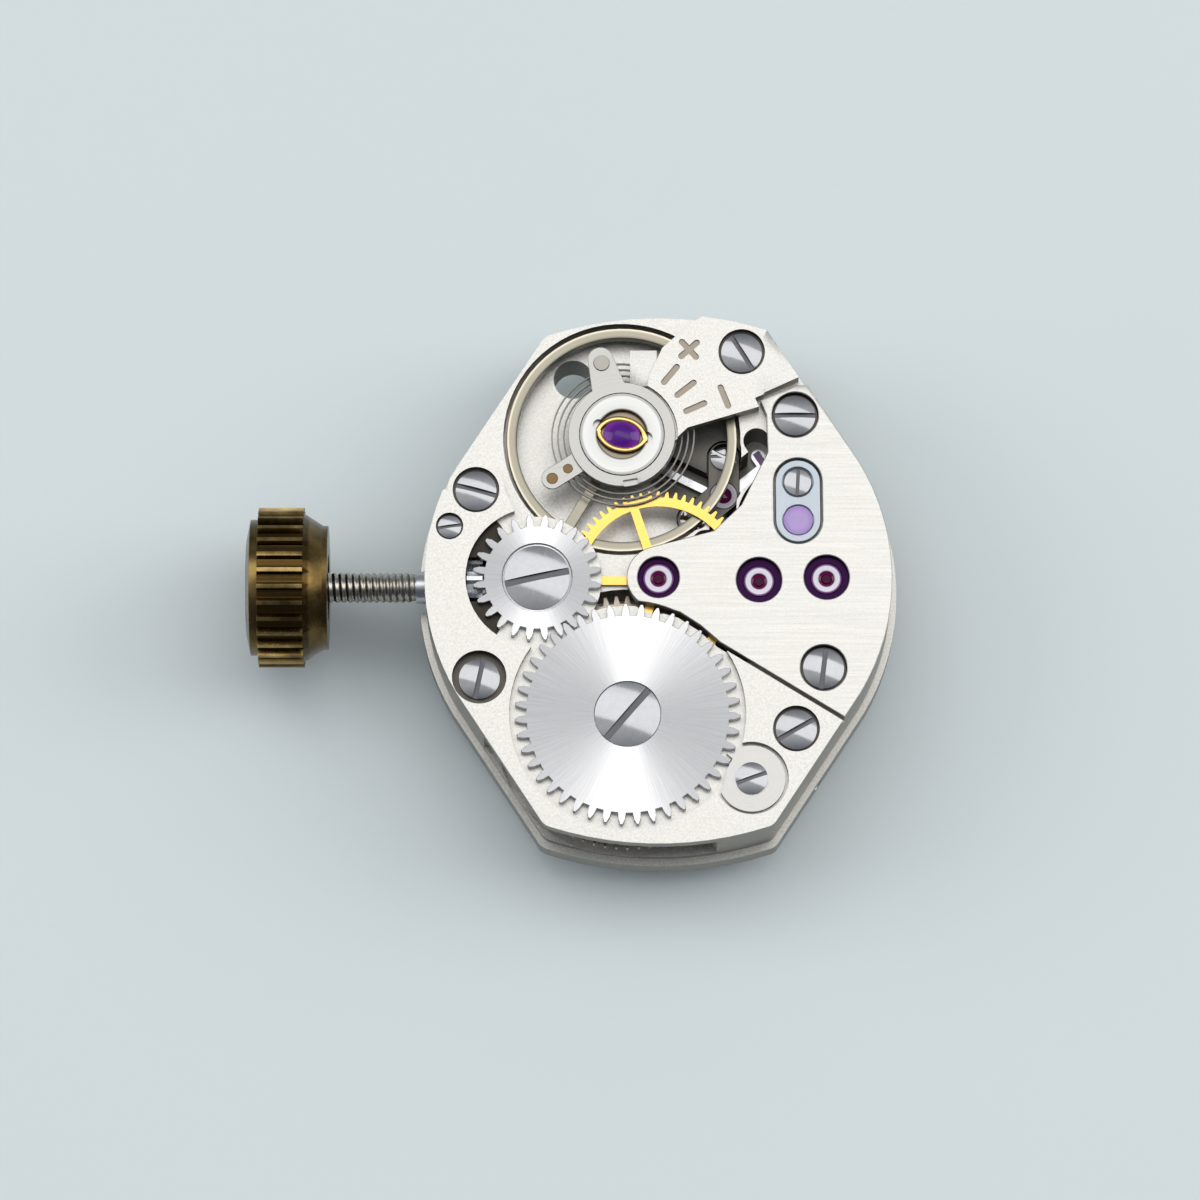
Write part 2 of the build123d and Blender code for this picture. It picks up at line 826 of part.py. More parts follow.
def winding_pockets():
    """The window of the clutch and winding pinion, and the stem's bores."""
    first, last = stem_window_x
    clutch_half = clutch_tip_r + clutch_room
    top = rim_z + overrun
    pinion_half = winding_pinion_tip_r + side_gap
    return [
        span_box((first, last), (-clutch_half, clutch_half), (-overrun, top)),
        span_box((first, clutch_x[0]), (-pinion_half, pinion_half), (-overrun, top)),
        x_disc(stem_body_r + run_gap, (-side_r - overrun, first)),
        x_disc(stem_pilot_r + run_gap, (last, stem_stations_x[-1] + side_gap)),
        span_box(
            (nose_at()[0] - stem_pull - 2 * lever_nose_r, nose_at()[0] + 2 * lever_nose_r),
            (-2 * lever_nose_r, 2 * lever_nose_r),
            (0, lever_nose_top_z + side_gap),
        ),
    ]


def nose_at():
    """The middle of the stem's groove, where the setting lever's nose sits."""
    return ((stem_stations_x[2] + stem_stations_x[3]) / 2, 0.0)


def keyless_pocket():
    """The dial-side pocket of the setting work, around its bosses and its post."""
    left = lever_screw_at[0] - lever_hub_r - run_gap
    right = stem_window_x[1]
    low = -yoke_tip_length / 2 - keyless_room
    high = yoke_pivot_at[1] + yoke_hub_r + pocket_clear
    posts = [circle(at, cover_boss_r) for at in cover_screws]
    posts += [circle(at, yoke_post_r) for at in (yoke_pivot_at, yoke_spring_points[0])]
    face = outline([
        (left, low), (left, lever_screw_at[1] + lever_hub_r), (cover_screws[0][0] - cover_boss_r, high),
        (right, high), (right, low),
    ])
    for post in posts:
        face -= post
    pocket = prism(face, (0, keyless_pocket_z))
    return [pocket] + [prism(post, (0, cover_plate_z[1])) for post in posts]


def motion_pockets():
    """The dial-side pockets of the cannon pinion, minute, hour and setting wheels."""
    cuts = [
        disc(centre_at, motion_r(hour_teeth) + pocket_clear, (0, hour_wheel_z[1] + side_gap)),
        disc(centre_at, motion_r(cannon_leaves) + pocket_clear, (0, motion_pocket_z)),
    ]
    for at, teeth in ((minute_at, minute_teeth), (setting_at, setting_teeth)):
        cuts.append(ring(at, motion_r(teeth) + pocket_clear, motion_post_r, (0, motion_pocket_z)))
        cuts.append(disc(at, motion_r(teeth), (0, cover_plate_z[1])))
    return cuts


def dial_feet():
    return (dial_foot_at, (-dial_foot_at[0], -dial_foot_at[1]))


def foot_line(foot):
    """The direction from a dial foot square to the slanted edge beside it."""
    corner = (math.sqrt(side_r**2 - side_corner_y**2), side_corner_y)
    slant = bearing(corner, (end_half_width, end_corner_y))
    direction = -(slant - 90)
    return direction if foot[0] > 0 else direction + 180


def dial_screw(foot, radius, start, length):
    """A pin square to the slanted edge, from beside the dial foot outwards."""
    pin = Pos(foot[0], foot[1], dial_screw_z) * Rot(0, 0, foot_line(foot)) * Rot(0, 90, 0)
    return pin * disc((0, 0), radius, (start, start + length))


def dial_holes():
    cuts = [disc(foot, dial_foot_r, (-overrun, dial_foot_depth)) for foot in dial_feet()]
    cuts += [dial_screw(foot, dial_screw_r + run_gap, 0, side_r / 2) for foot in dial_feet()]
    return cuts + [disc(side_hole_at, side_hole_r, (-overrun, rim_z))]


def screw_threads():
    """The threaded holes in the plate, one for each screw from either side."""
    cuts = []
    for at, _, top in bridge_screw_seats() + [(cock_screw, 0, cock_top_z - screw_sink)]:
        foot = top - bridge_screw[1] - bridge_screw[4] - side_gap
        cuts.append(disc(at, bridge_screw[3] + run_gap, (foot, rim_z + overrun)))
    cuts.append(disc(lever_screw_at, lever_screw[3] + run_gap, (0, rim_z + overrun)))
    for at in cover_screws:
        depth = cover_plate_z[0] + small_screw[4] + side_gap
        cuts.append(disc(at, small_screw[3] + run_gap, (0, depth)))
    for at in pallet_feet():
        foot = pallet_cock_z[1] - small_screw[4] - side_gap
        cuts.append(disc(at, small_screw[3] + run_gap, (foot, rim_z)))
    return cuts


def plate_bearings():
    return [
        disc(centre_at, centre_arbor_r + run_gap, (0, rim_z)),
        disc(barrel_at, arbor_neck_r + run_gap, (-overrun, rim_z)),
        disc(balance_at, lower_setting_r + press_gap, (-overrun, lower_setting_top())),
        disc(balance_at, collet_r, (0, rim_z)),
    ]


def lower_setting_top():
    return lower_setting_z + setting_height()


def setting_height():
    return cock_top_z - shelf_z[0]


def ledge_face():
    """The plate's wider lower step, with a notch below the stem."""
    notch = Pos(-side_r, 0) * Rectangle(2 * overrun, 2 * (stem_body_r + pocket_clear))
    return plate_face(case_ledge) - (notch - plate_face())


def mainplate():
    plate = prism(ledge_face(), (0, ledge_top_z))
    plate += prism(plate_face(), (ledge_top_z, rim_z))
    cuts = train_pockets() + [barrel_window()] + jewel_holes() + winding_pockets()
    cuts += keyless_pocket() + motion_pockets() + dial_holes() + screw_threads()
    cuts.append(prism(cover_face(side_gap), (0, cover_plate_z[1])))
    return plate - cuts - plate_bearings()


def barrel_bridge():
    high = prism(barrel_bridge_face(), (rim_z, bridge_top_z))
    web_face = circle(crown_wheel_at, crown_wheel_tip_r) + circle(barrel_at, ratchet_tip_r)
    web = prism(web_face - train_bridge_face(bridge_gap), (rim_z, recess_floor_z))
    boss = disc(barrel_at, arbor_boss_r, (barrel_z[1] + side_gap, recess_floor_z))
    top = bridge_top_z + overrun
    cuts = [
        disc(crown_wheel_at, crown_wheel_recess_r, (recess_floor_z, top)),
        disc(barrel_at, ratchet_recess_r, (recess_floor_z, top)),
        disc(click_at, click_recess_r, (recess_floor_z, top)),
        disc(centre_at, centre_pocket_r, (0, train_relief_z)),
        disc(barrel_at, arbor_neck_r + run_gap, (0, top)),
        disc(crown_wheel_at, big_screw_shank_r + run_gap, (0, top)),
        disc(click_at, click_hub_r + press_gap, (0, top)),
        x_disc(winding_pinion_tip_r + side_gap, (stem_window_x[0], clutch_x[0])),
        prism(click_spring_face(side_gap), (recess_floor_z - click_groove_depth, top)),
        disc(lever_screw_at, lever_screw[3] + run_gap, (0, top)),
        disc(lever_screw_at, lever_recess_r, (recess_level(lever_screw), top)),
    ]
    return high + web + boss - cuts - bridge_holes(bridge_screw_seats()[:3])


def train_bridge():
    high = prism(plate_face() & train_bridge_face(), (rim_z, bridge_top_z))
    top = bridge_top_z + overrun
    floor = train_relief_z + train_jewel_thick
    cuts = [disc(centre_at, centre_pocket_r, (0, train_relief_z))]
    cuts.append(disc(third_at, train_jewel_r, (0, train_relief_z)))
    cuts.append(disc(barrel_at, ratchet_tip_r + pocket_clear, (rim_z, top)))
    for at, sink_r in zip((centre_at, third_at, fourth_at), bridge_sink_r):
        cuts.append(disc(at, train_jewel_r + press_gap, (0, floor)))
        cuts.append(disc(at, sink_r, (floor, top)))
    cuts.append(disc(escape_at, endstone_r + press_gap, (0, endstone_seat_z())))
    cuts.append(prism(endstone_plate_face(side_gap), (endstone_seat_z(), top)))
    cuts.append(disc(endstone_screw_at, small_screw[3] + run_gap, (0, top)))
    return high - cuts - bridge_holes(bridge_screw_seats()[3:])


def endstone_seat_z():
    return bridge_top_z - screw_sink - endstone_plate_thick


def endstone_plate_face(slack=0.0):
    return bar(escape_at, endstone_screw_at[:2], endstone_plate_half_width + slack)


def endstone_plate():
    levels = (endstone_seat_z(), endstone_seat_z() + endstone_plate_thick)
    plate = prism(endstone_plate_face(), levels)
    head_floor = levels[1] - small_screw[1] / 2
    plate -= disc(escape_at, endstone_r + press_gap, (0, bridge_top_z))
    plate -= disc(endstone_screw_at, small_screw[0] + side_gap, (head_floor, bridge_top_z))
    return plate - disc(endstone_screw_at, small_screw[3] + run_gap, (0, bridge_top_z))


def pallet_cock_face(slack=0.0):
    first, second = pallet_feet()
    face = bar(first[:2], pallet_at, pallet_foot_r + slack)
    return face + bar(pallet_at, second[:2], pallet_foot_r + slack)


def pallet_cock():
    cock = prism(pallet_cock_face(), pallet_cock_z)
    cock -= disc(pallet_at, pallet_jewel_r + press_gap, pallet_cock_z)
    return cock - [disc(at, small_screw[3] + run_gap, (0, rim_z)) for at in pallet_feet()]


def balance_cock():
    """The cock: a foot on the plate, a high arm, and the lower shelf round the setting."""
    high = cock_face() - circle(balance_at, cock_arc_r)
    foot = cock_face() - circle(balance_at, balance_pocket_r() + cock_foot_clear)
    corner = outline(share_points(shelf_corner_shares, rim_outer_r, balance_at))
    shelf = cock_face() + circle(balance_at, shelf_r) + corner
    cock = prism(high, (shelf_z[0], cock_top_z)) + prism(shelf, shelf_z)
    cock += prism(foot, (rim_z, shelf_z[1]))
    cock -= disc(balance_at, setting_bore_r + press_gap, (0, cock_top_z))
    head_floor = cock_top_z - screw_sink - bridge_screw[1]
    return cock - screw_hole(cock_screw, bridge_screw, bridge_recess_r, head_floor, cock_top_z)


def small_screws():
    """The pallet cock's, end-stone plate's, cover plate's and dial feet's screws."""
    screws = [screw(small_screw, at, pallet_cock_z[1] + small_screw[1]) for at in pallet_feet()]
    size = (small_screw[0], small_screw[1] / 2) + small_screw[2:]
    screws.append(screw(size, endstone_screw_at, endstone_seat_z() + endstone_plate_thick))
    for at in cover_screws:
        upright = screw(small_screw, (0, 0, at[2]), 0)
        screws.append(Pos(at[0], at[1], cover_plate_z[0] - small_screw[1]) * Rot(180, 0, 0) * upright)
    start = dial_foot_r + side_gap
    screws += [dial_screw(foot, dial_screw_r, start, dial_screw_length) for foot in dial_feet()]
    return Compound(screws)


def hole_jewel(at, outer_r, hole_r, sink_r, sink, levels):
    """A round jewel with a pivot hole and an oil sink on its upper face."""
    low, high = levels
    profile = [(hole_r, low), (outer_r, low), (outer_r, high), (sink_r, high), (hole_r, high - sink)]
    return turned(at, profile)


def train_jewels():
    jewels = [
        hole_jewel(
            at, train_jewel_r, centre_pivot_r + run_gap, train_jewel_sink_r, train_jewel_sink,
            (train_relief_z, train_relief_z + train_jewel_thick),
        )
        for at in (centre_at, third_at, fourth_at)
    ]
    levels = (train_relief_z, train_relief_z + train_jewel_thick)
    jewels.append(
        hole_jewel(
            escape_at, endstone_r, pivot_r + run_gap, train_jewel_sink_r, train_jewel_sink, levels
        )
    )
    for at, top in lower_jewel_seats():
        jewels.append(
            hole_jewel(
                at, lower_jewel_r, pivot_r + run_gap, lower_jewel_r / 2 + pivot_r / 2,
                train_jewel_sink / 2, (top - lower_jewel_thick, top),
            )
        )
    jewels.append(
        hole_jewel(
            pallet_at, pallet_jewel_r, pivot_r + run_gap, train_jewel_sink_r, train_jewel_sink,
            pallet_cock_z,
        )
    )
    return Compound(jewels)


def escape_endstone():
    top = endstone_seat_z() + endstone_plate_thick
    return disc(escape_at, endstone_r, (endstone_seat_z(), top - screw_sink))


def setting_block(flange_r, body_r):
    """A shock setting's block, from its outer face at zero downwards."""
    height = setting_height()
    body = disc((0, 0), body_r, (-height, 0))
    if flange_r > body_r:
        body += disc((0, 0), flange_r, (shelf_z[1] - cock_top_z, 0))
    well = disc((0, 0), setting_well_r, (-setting_well_depth, overrun))
    ears = [disc(polar(setting_well_r, a), setting_ear_r, (-setting_well_depth, overrun))
            for a in setting_ear_deg]
    seat = disc((0, 0), cap_jewel_r + jewel_gap, (-height + side_gap, 0))
    throat = disc((0, 0), staff_body_r + pocket_clear, (-height - overrun, 0))
    return body - [well, seat, throat] - ears


def placed_settings(shape):
    """The same piece in the cock's setting and, turned over, in the plate's."""
    upper = Pos(balance_at[0], balance_at[1], cock_top_z) * shape
    lower = Pos(balance_at[0], balance_at[1], lower_setting_z) * Rot(180, 0, 0) * shape
    return [upper, lower]


def shock_blocks():
    upper = placed_settings(setting_block(setting_flange_r, setting_bore_r))[0]
    lower = placed_settings(setting_block(lower_setting_r, lower_setting_r))[1]
    return Compound([upper, lower])


def cap_levels():
    return (-cap_jewel_depth - cap_jewel_thick, -cap_jewel_depth)


def shock_cap_jewels():
    return Compound(placed_settings(disc((0, 0), cap_jewel_r, cap_levels())))


def shock_hole_jewels():
    top = cap_levels()[0] - run_gap
    jewel = hole_jewel(
        (0, 0), hole_jewel_r, staff_pivot_r + run_gap, 2 * staff_pivot_r, run_gap,
        (top - hole_jewel_thick, top),
    )
    return Compound(placed_settings(jewel))


def shock_springs():
    """The lyre springs: a closed loop of wire across each cap jewel."""
    a, b = polar(lyre_half_gap, lyre_turn_deg), polar(lyre_half_gap, lyre_turn_deg + 180)
    loop = bar(a, b, lyre_half_gap + lyre_wire / 2) - bar(a, b, lyre_half_gap - lyre_wire / 2)
    spring = prism(loop, (-cap_jewel_depth, -cap_jewel_depth + lyre_wire / 2))
    return Compound(placed_settings(spring))


def index_ring():
    return circle(balance_at, index_ring_r) - circle(balance_at, setting_flange_r + run_gap)


def regulator_index():
    tip = polar(index_arm_tip, index_arm_deg, balance_at)
    arm = bar(balance_at, tip, index_arm_half_width) - circle(balance_at, setting_flange_r + run_gap)
    face = index_ring() + arm
    for radius, pin_r, _ in curb_pins:
        face -= circle(polar(radius, index_arm_deg, balance_at), pin_r + press_gap)
    return prism(face, index_ring_z)


def curb_pin_pair():
    """Two pins through the index, each with a foot that carries a wire beside the spiral."""
    pins = []
    for radius, pin_r, wire_at in curb_pins:
        head = polar(radius, index_arm_deg, balance_at)
        wire = polar(wire_at, index_arm_deg, balance_at)
        pin = disc(head, pin_r, (curb_foot_z, index_ring_z[1]))
        pin += prism(bar(head, wire, curb_foot_half_width), (curb_foot_z, index_ring_z[0] - run_gap))
        pins.append(pin + disc(wire, curb_wire_r, (curb_wire_end_z, curb_foot_z)))
    return Compound(pins)


def stud_carrier():
    """The upper ring with the stud's tapered arm, split opposite the cock."""
    line = stud_arm_deg
    root = polar(setting_flange_r, line, balance_at)
    end = polar(stud_orbit_r + stud_r / 2, line, balance_at)
    corners = [polar(stud_arm_root_half_width, line + s * 90, root) for s in (-1, 1)]
    corners += [polar(stud_arm_tip_half_width, line + s * 90, end) for s in (1, -1)]
    face = outline(corners) + circle(end, stud_arm_tip_half_width)
    face = index_ring() + (face - circle(balance_at, setting_flange_r + run_gap))
    face -= circle(polar(stud_orbit_r, line, balance_at), stud_r + press_gap)
    notch = polar(index_ring_r, stud_notch_deg, balance_at)
    face -= Pos(*notch) * Rot(0, 0, stud_notch_deg) * Rectangle(stud_notch_depth, stud_notch_width)
    return prism(face, stud_ring_z)


def hairspring_stud():
    at = polar(stud_orbit_r, stud_arm_deg, balance_at)
    return stepped(at, (stud_z[0], (stud_pin_r, stud_head_z), (stud_r, stud_z[1])))


def hairspring():
    """The spiral from the collet to the stud, with the gap between its turns printed."""
    step = (hairspring_outer_r - hairspring_inner_r) / hairspring_turns
    print("hairspring's least gap to itself", round(step - hairspring_thick, 4))
    lead = math.degrees((stud_pin_r + run_gap) / hairspring_outer_r)
    face = spiral_face(
        hairspring_inner_r, hairspring_outer_r, hairspring_turns, hairspring_thick,
        stud_arm_deg - lead, balance_at,
    )
    return prism(face, hairspring_z)


def balance_wheel():
    inner_r = rim_outer_r - rim_width
    wheel = ring(balance_at, rim_outer_r, inner_r, rim_levels_z)
    spoke = Rectangle(2 * inner_r + rim_width, balance_arm_width)
    arms = Pos(*balance_at) * Rot(0, 0, balance_arm_deg) * spoke
    hub = (arms + circle(balance_at, balance_hub_r)) - circle(balance_at, staff_seat_r + press_gap)
    return wheel + prism(hub, arm_levels_z)


def balance_staff():
    low, high = staff_z
    steps = [
        low, (staff_pivot_r, low + staff_pivot_length), (staff_body_r, roller_z[1]),
        (staff_hub_r, arm_levels_z[0]), (staff_seat_r, arm_levels_z[1]),
        (staff_body_r, shelf_z[0]), (staff_pivot_r, high),
    ]
    return stepped(balance_at, steps)


def hairspring_collet():
    return ring(balance_at, collet_r, staff_body_r + press_gap, collet_z)


def impulse_at():
    return polar(impulse_orbit_r, escape_line_deg + 180, balance_at)


def balance_roller():
    """The double roller: a table that holds the impulse pin over a notched safety roller."""
    table = circle(balance_at, roller_r) - circle(impulse_at(), impulse_pin_r + press_gap)
    notch = circle(impulse_at(), impulse_orbit_r - safety_roller_r + 2 * impulse_pin_r)
    safety = circle(balance_at, safety_roller_r) - notch
    bore = circle(balance_at, staff_body_r + press_gap)
    return prism(table - bore, roller_z) + prism(safety - bore, safety_roller_z)


def impulse_pin():
    return disc(impulse_at(), impulse_pin_r, (impulse_pin_z[0], roller_z[1]))


def pallet_fork():
    """The lever: a forked tail towards the balance and two arms that hold the stones."""
    tip = fork_tip()
    face = bar(pallet_at, tip, fork_tail_half_width) + circle(pallet_at, pallet_hub_r)
    face += circle(tip, fork_tip_half_width)
    for place in pallet_stone_places():
        face += bar(pallet_at, place[0], fork_arm_half_width)
    for place in pallet_stone_places():
        holder = polar(pallet_stone_length * stone_hold_share, place[1], place[0])
        face += bar(place[0], holder, pallet_stone_width)
    for place in pallet_stone_places():
        face -= stone_face(place, press_gap)
    mouth = polar(fork_notch_depth / 2, escape_line_deg, tip)
    notch = Rectangle(2 * fork_notch_depth, 2 * fork_notch_half_width)
    face -= Pos(*mouth) * Rot(0, 0, escape_line_deg) * notch
    return prism(face - circle(pallet_at, pallet_arbor_r + press_gap), escapement_z)


def pallet_arbor():
    low = lower_jewel_seats()[3][1]
    steps = [low - lower_jewel_thick, (pivot_r, low + run_gap)]
    steps += [(pallet_arbor_r, pallet_cock_z[0] - run_gap), (pivot_r, pallet_arbor_top_z)]
    return stepped(pallet_at, steps)


def pallet_stones():
    levels = (escapement_z[0] + side_gap / 2, escapement_z[1] - side_gap / 2)
    return Compound([prism(stone_face(place), levels) for place in pallet_stone_places()])


def escape_tooth():
    """A club tooth that leans the way the wheel turns, with its toe and its heel."""
    return [(escape_wheel_r * radius, share) for radius, share in escape_tooth_shares]


def escape_wheel():
    face = gear_face(escape_teeth, escape_tooth(), escape_phase, escape_at)
    face -= crossings(
        escape_at, escape_rim_r, escape_hub_r, escape_spokes, escape_spoke_width, escape_phase
    )
    face -= circle(escape_at, escape_arbor_r + press_gap)
    return prism(face, (escape_wheel_z, escape_wheel_z + train_wheel_thick))


def arbor_with_leaves(at, steps, m, leaves, phase, levels):
    """A train arbor turned in one piece with its pinion's leaves."""
    return stepped(at, steps) + prism(leaves_face(m, leaves, phase, at), levels)


def upper_pivot_z():
    return train_relief_z + train_jewel_thick - train_jewel_sink / 2


def escape_pinion():
    low = lower_jewel_seats()[2][1]
    steps = [low - lower_jewel_thick, (pivot_r, low + run_gap), (escape_arbor_r, train_relief_z - run_gap)]
    steps.append((pivot_r, train_relief_z + train_jewel_thick + run_gap))
    return arbor_with_leaves(
        escape_at, steps, fourth_module, escape_pinion_leaves, escape_pinion_phase, escape_pinion_z
    )


def train_wheel(at, m, teeth, phase, low_z, arbor_r):
    rim_r = m * teeth / 2 * train_rim_share
    face = wheel_face(m, teeth, phase, at) - train_windows(at, rim_r, phase)
    face -= circle(at, arbor_r + press_gap)
    return prism(face, (low_z, low_z + train_wheel_thick))


def fourth_wheel():
    return train_wheel(
        fourth_at, fourth_module, fourth_teeth, fourth_phase, fourth_wheel_z, train_arbor_r
    )


def fourth_pinion():
    low = lower_jewel_seats()[1][1]
    steps = [low - lower_jewel_thick, (pivot_r, low + run_gap), (train_arbor_r, train_relief_z - run_gap)]
    steps.append((centre_pivot_r, upper_pivot_z()))
    return arbor_with_leaves(
        fourth_at, steps, third_module, fourth_pinion_leaves, fourth_pinion_phase, fourth_pinion_z
    )


def third_wheel():
    return train_wheel(
        third_at, third_module, third_teeth, third_phase, third_wheel_z, third_arbor_r
    )


def third_pinion():
    low = lower_jewel_seats()[0][1]
    steps = [low - lower_jewel_thick, (pivot_r, low + run_gap), (third_arbor_r, train_relief_z - run_gap)]
    steps.append((centre_pivot_r, upper_pivot_z()))
    return arbor_with_leaves(
        third_at, steps, centre_module, third_pinion_leaves, third_pinion_phase, third_pinion_z
    )


def centre_wheel():
    face = wheel_face(centre_module, centre_teeth, centre_phase, centre_at)
    face -= crossings(
        centre_at, centre_wheel_rim_r, centre_wheel_hub_r, centre_wheel_spokes,
        centre_wheel_spoke_width, centre_wheel_spoke_deg,
    )
    face -= circle(centre_at, centre_post_r + press_gap)
    return prism(face, (centre_wheel_z, centre_wheel_z + train_wheel_thick))


def centre_pinion():
    steps = [
        centre_post_end_z, (centre_post_r, motion_pocket_z), (centre_arbor_r, centre_pinion_z[1]),
        (centre_post_r, train_relief_z - run_gap), (centre_pivot_r, upper_pivot_z()),
    ]
    return arbor_with_leaves(
        centre_at, steps, barrel_module, centre_pinion_leaves, centre_pinion_phase, centre_pinion_z
    )


def barrel_drum():
    """The open drum with its ring of teeth, bored for the arbor."""
    m = barrel_module
    low, high = barrel_z
    drum = disc(barrel_at, drum_r, barrel_z)
    drum += prism(wheel_face(m, barrel_teeth, barrel_phase, barrel_at), barrel_tooth_z)
    inner = drum_r - drum_wall
    drum -= disc(barrel_at, inner, (low + drum_floor, high))
    return drum - disc(barrel_at, arbor_neck_r + run_gap, (0, high))


def barrel_cover():
    inner = drum_r - drum_wall - press_gap
    low = barrel_z[1] - cover_thick
    return ring(barrel_at, inner, arbor_neck_r + run_gap, (low, barrel_z[1]))


def barrel_arbor():
    """The arbor: a foot pivot, the mainspring's core, the neck and the ratchet's square."""
    low = barrel_z[0] + drum_floor + run_gap
    high = barrel_z[1] - cover_thick - run_gap
    steps = [arbor_foot_z, (arbor_neck_r, low), (arbor_core_r, high), (arbor_neck_r, recess_floor_z)]
    arbor = stepped(barrel_at, steps)
    square = Pos(*barrel_at) * Rot(0, 0, ratchet_slot_deg) * Rectangle(arbor_square, arbor_square)
    arbor += prism(square, (recess_floor_z, ratchet_seat_z()))
    return arbor - disc(barrel_at, big_screw_shank_r + run_gap, (rim_z - bridge_screw[0], bridge_top_z))


def mainspring():
    """The spring ribbon between the arbor's core and the drum's wall."""
    face = spiral_face(
        mainspring_inner_r + mainspring_thick, drum_r - drum_wall - mainspring_room, mainspring_turns,
        mainspring_thick, 0, barrel_at,
    )
    low = barrel_z[0] + drum_floor + mainspring_lift
    return prism(face, (low, barrel_z[1] - cover_thick - mainspring_lift))


def ratchet_seat_z():
    return winding_wheel_z[1] - big_screw_head / 2


def winding_face(teeth, tip, phase, at):
    """A winding wheel's outline, with rounded shoulders on its teeth."""
    middle = tip - winding_root_depth * winding_shoulder_share
    corners = full_tooth(tip - winding_root_depth, middle, tip, winding_tooth_shares)
    return gear_face(teeth, corners, phase, at)


def ratchet_wheel():
    face = winding_face(ratchet_teeth, ratchet_tip_r, ratchet_phase, barrel_at)
    side = arbor_square + 2 * press_gap
    face -= Pos(*barrel_at) * Rot(0, 0, ratchet_slot_deg) * Rectangle(side, side)
    wheel = prism(face, winding_wheel_z)
    return wheel - disc(barrel_at, big_screw_head_r + run_gap, (ratchet_seat_z(), bridge_top_z))


def ratchet_screw():
    size = (big_screw_head_r, big_screw_head, big_slot_width, big_screw_shank_r, big_screw_shank)
    return screw(size, barrel_at + (ratchet_slot_deg,), ratchet_seat_z() + big_screw_head)


def crown_wheel():
    face = winding_face(crown_wheel_teeth, crown_wheel_tip_r, crown_wheel_phase, crown_wheel_at)
    face -= circle(crown_wheel_at, crown_core_r + run_gap)
    wheel = prism(face, winding_wheel_z)
    return wheel - disc(crown_wheel_at, big_screw_ring_r, (ratchet_seat_z() - run_gap, bridge_top_z))


def crown_wheel_core():
    """The fixed collar that the crown wheel turns on."""
    levels = (recess_floor_z, ratchet_seat_z())
    return ring(crown_wheel_at, crown_core_r, big_screw_shank_r + run_gap, levels)


def crown_wheel_screw():
    shank = ratchet_seat_z() - rim_z
    size = (big_screw_head_r, big_screw_head, big_slot_width, big_screw_shank_r, shank)
    return screw(size, crown_wheel_at + (crown_slot_deg,), ratchet_seat_z() + big_screw_head)


def beak_point():
    """The middle of the ratchet's tooth gap that the click's beak rests in."""
    pitch = 360 / ratchet_teeth
    line = bearing(barrel_at, click_at) + click_beak_lead
    gap = ratchet_phase + pitch * (round((line - ratchet_phase) / pitch - 1 / 2) + 1 / 2)
    return gap, polar(ratchet_tip_r - winding_root_depth * click_beak_share, gap, barrel_at)


def click():
    """The click: a disc cut clear of the ratchet over its whole swing, with one beak."""
    gap, tip = beak_point()
    face = circle(click_at, click_r)
    for step in range(click_clear_steps + 1):
        turn = click_swing_deg * step / click_clear_steps
        path = polar(math.dist(click_at, barrel_at), bearing(click_at, barrel_at) + turn, click_at)
        face -= circle(path, ratchet_tip_r + side_gap)
    root = polar(click_beak_reach, gap, tip)
    corners = [polar(click_beak_half_width, gap + s * 90, root) for s in (-1, 1)]
    beak = outline([tip] + corners) + bar(root, polar(click_hub_r, gap, click_at), click_beak_half_width)
    face += beak
    return prism(face - circle(click_at, click_hub_r + run_gap), click_levels())


def click_levels():
    return (winding_wheel_z[0], winding_wheel_z[0] + click_thick)


def click_screw():
    """The shouldered screw that the click turns on."""
    top = click_levels()[1] + run_gap + click_screw_head
    body = stepped((0, 0), (rim_z, (click_hub_r, top - click_screw_head), (click_screw_r, top)))
    slot = Box(2 * click_screw_r + overrun, small_screw[2], 2 * click_screw_head * slot_depth_share)
    body -= Pos(0, 0, top) * slot
    return Pos(*click_at) * Rot(0, 0, click_slot_deg) * body


def click_spring_face(slack=0.0):
    """A curved leaf in a round groove under the click."""
    half = click_spring_width / 2 + slack
    face = circle(click_at, click_spring_r + half) - circle(click_at, click_spring_r - half)
    start, end = click_spring_start_deg, click_spring_start_deg + click_spring_sweep_deg
    middle = (start + end) / 2
    reach = 2 * click_spring_r
    rays = [polar(reach, angle, click_at) for angle in (start, (start + middle) / 2, middle)]
    rays += [polar(reach, angle, click_at) for angle in ((middle + end) / 2, end)]
    return face & outline([click_at] + rays)


def click_spring():
    floor = recess_floor_z - click_groove_depth
    return prism(click_spring_face(), (floor, recess_floor_z - run_gap))


def stem():
    """The winding stem: thread, body, groove, neck, square and pilot."""
    tip, thread, body, groove, collar, neck, square, pilot = stem_stations_x
    steps = [
        tip, (stem_thread_r, thread), (stem_body_r, body), (stem_groove_r, groove),
        (stem_body_r, collar), (stem_neck_r, neck), (stem_pilot_r, pilot),
    ]
    shaft = along_x(stepped((0, 0), steps))
    half = stem_square / 2
    return shaft + span_box((neck, square), (-half, half), (stem_z - half, stem_z + half))


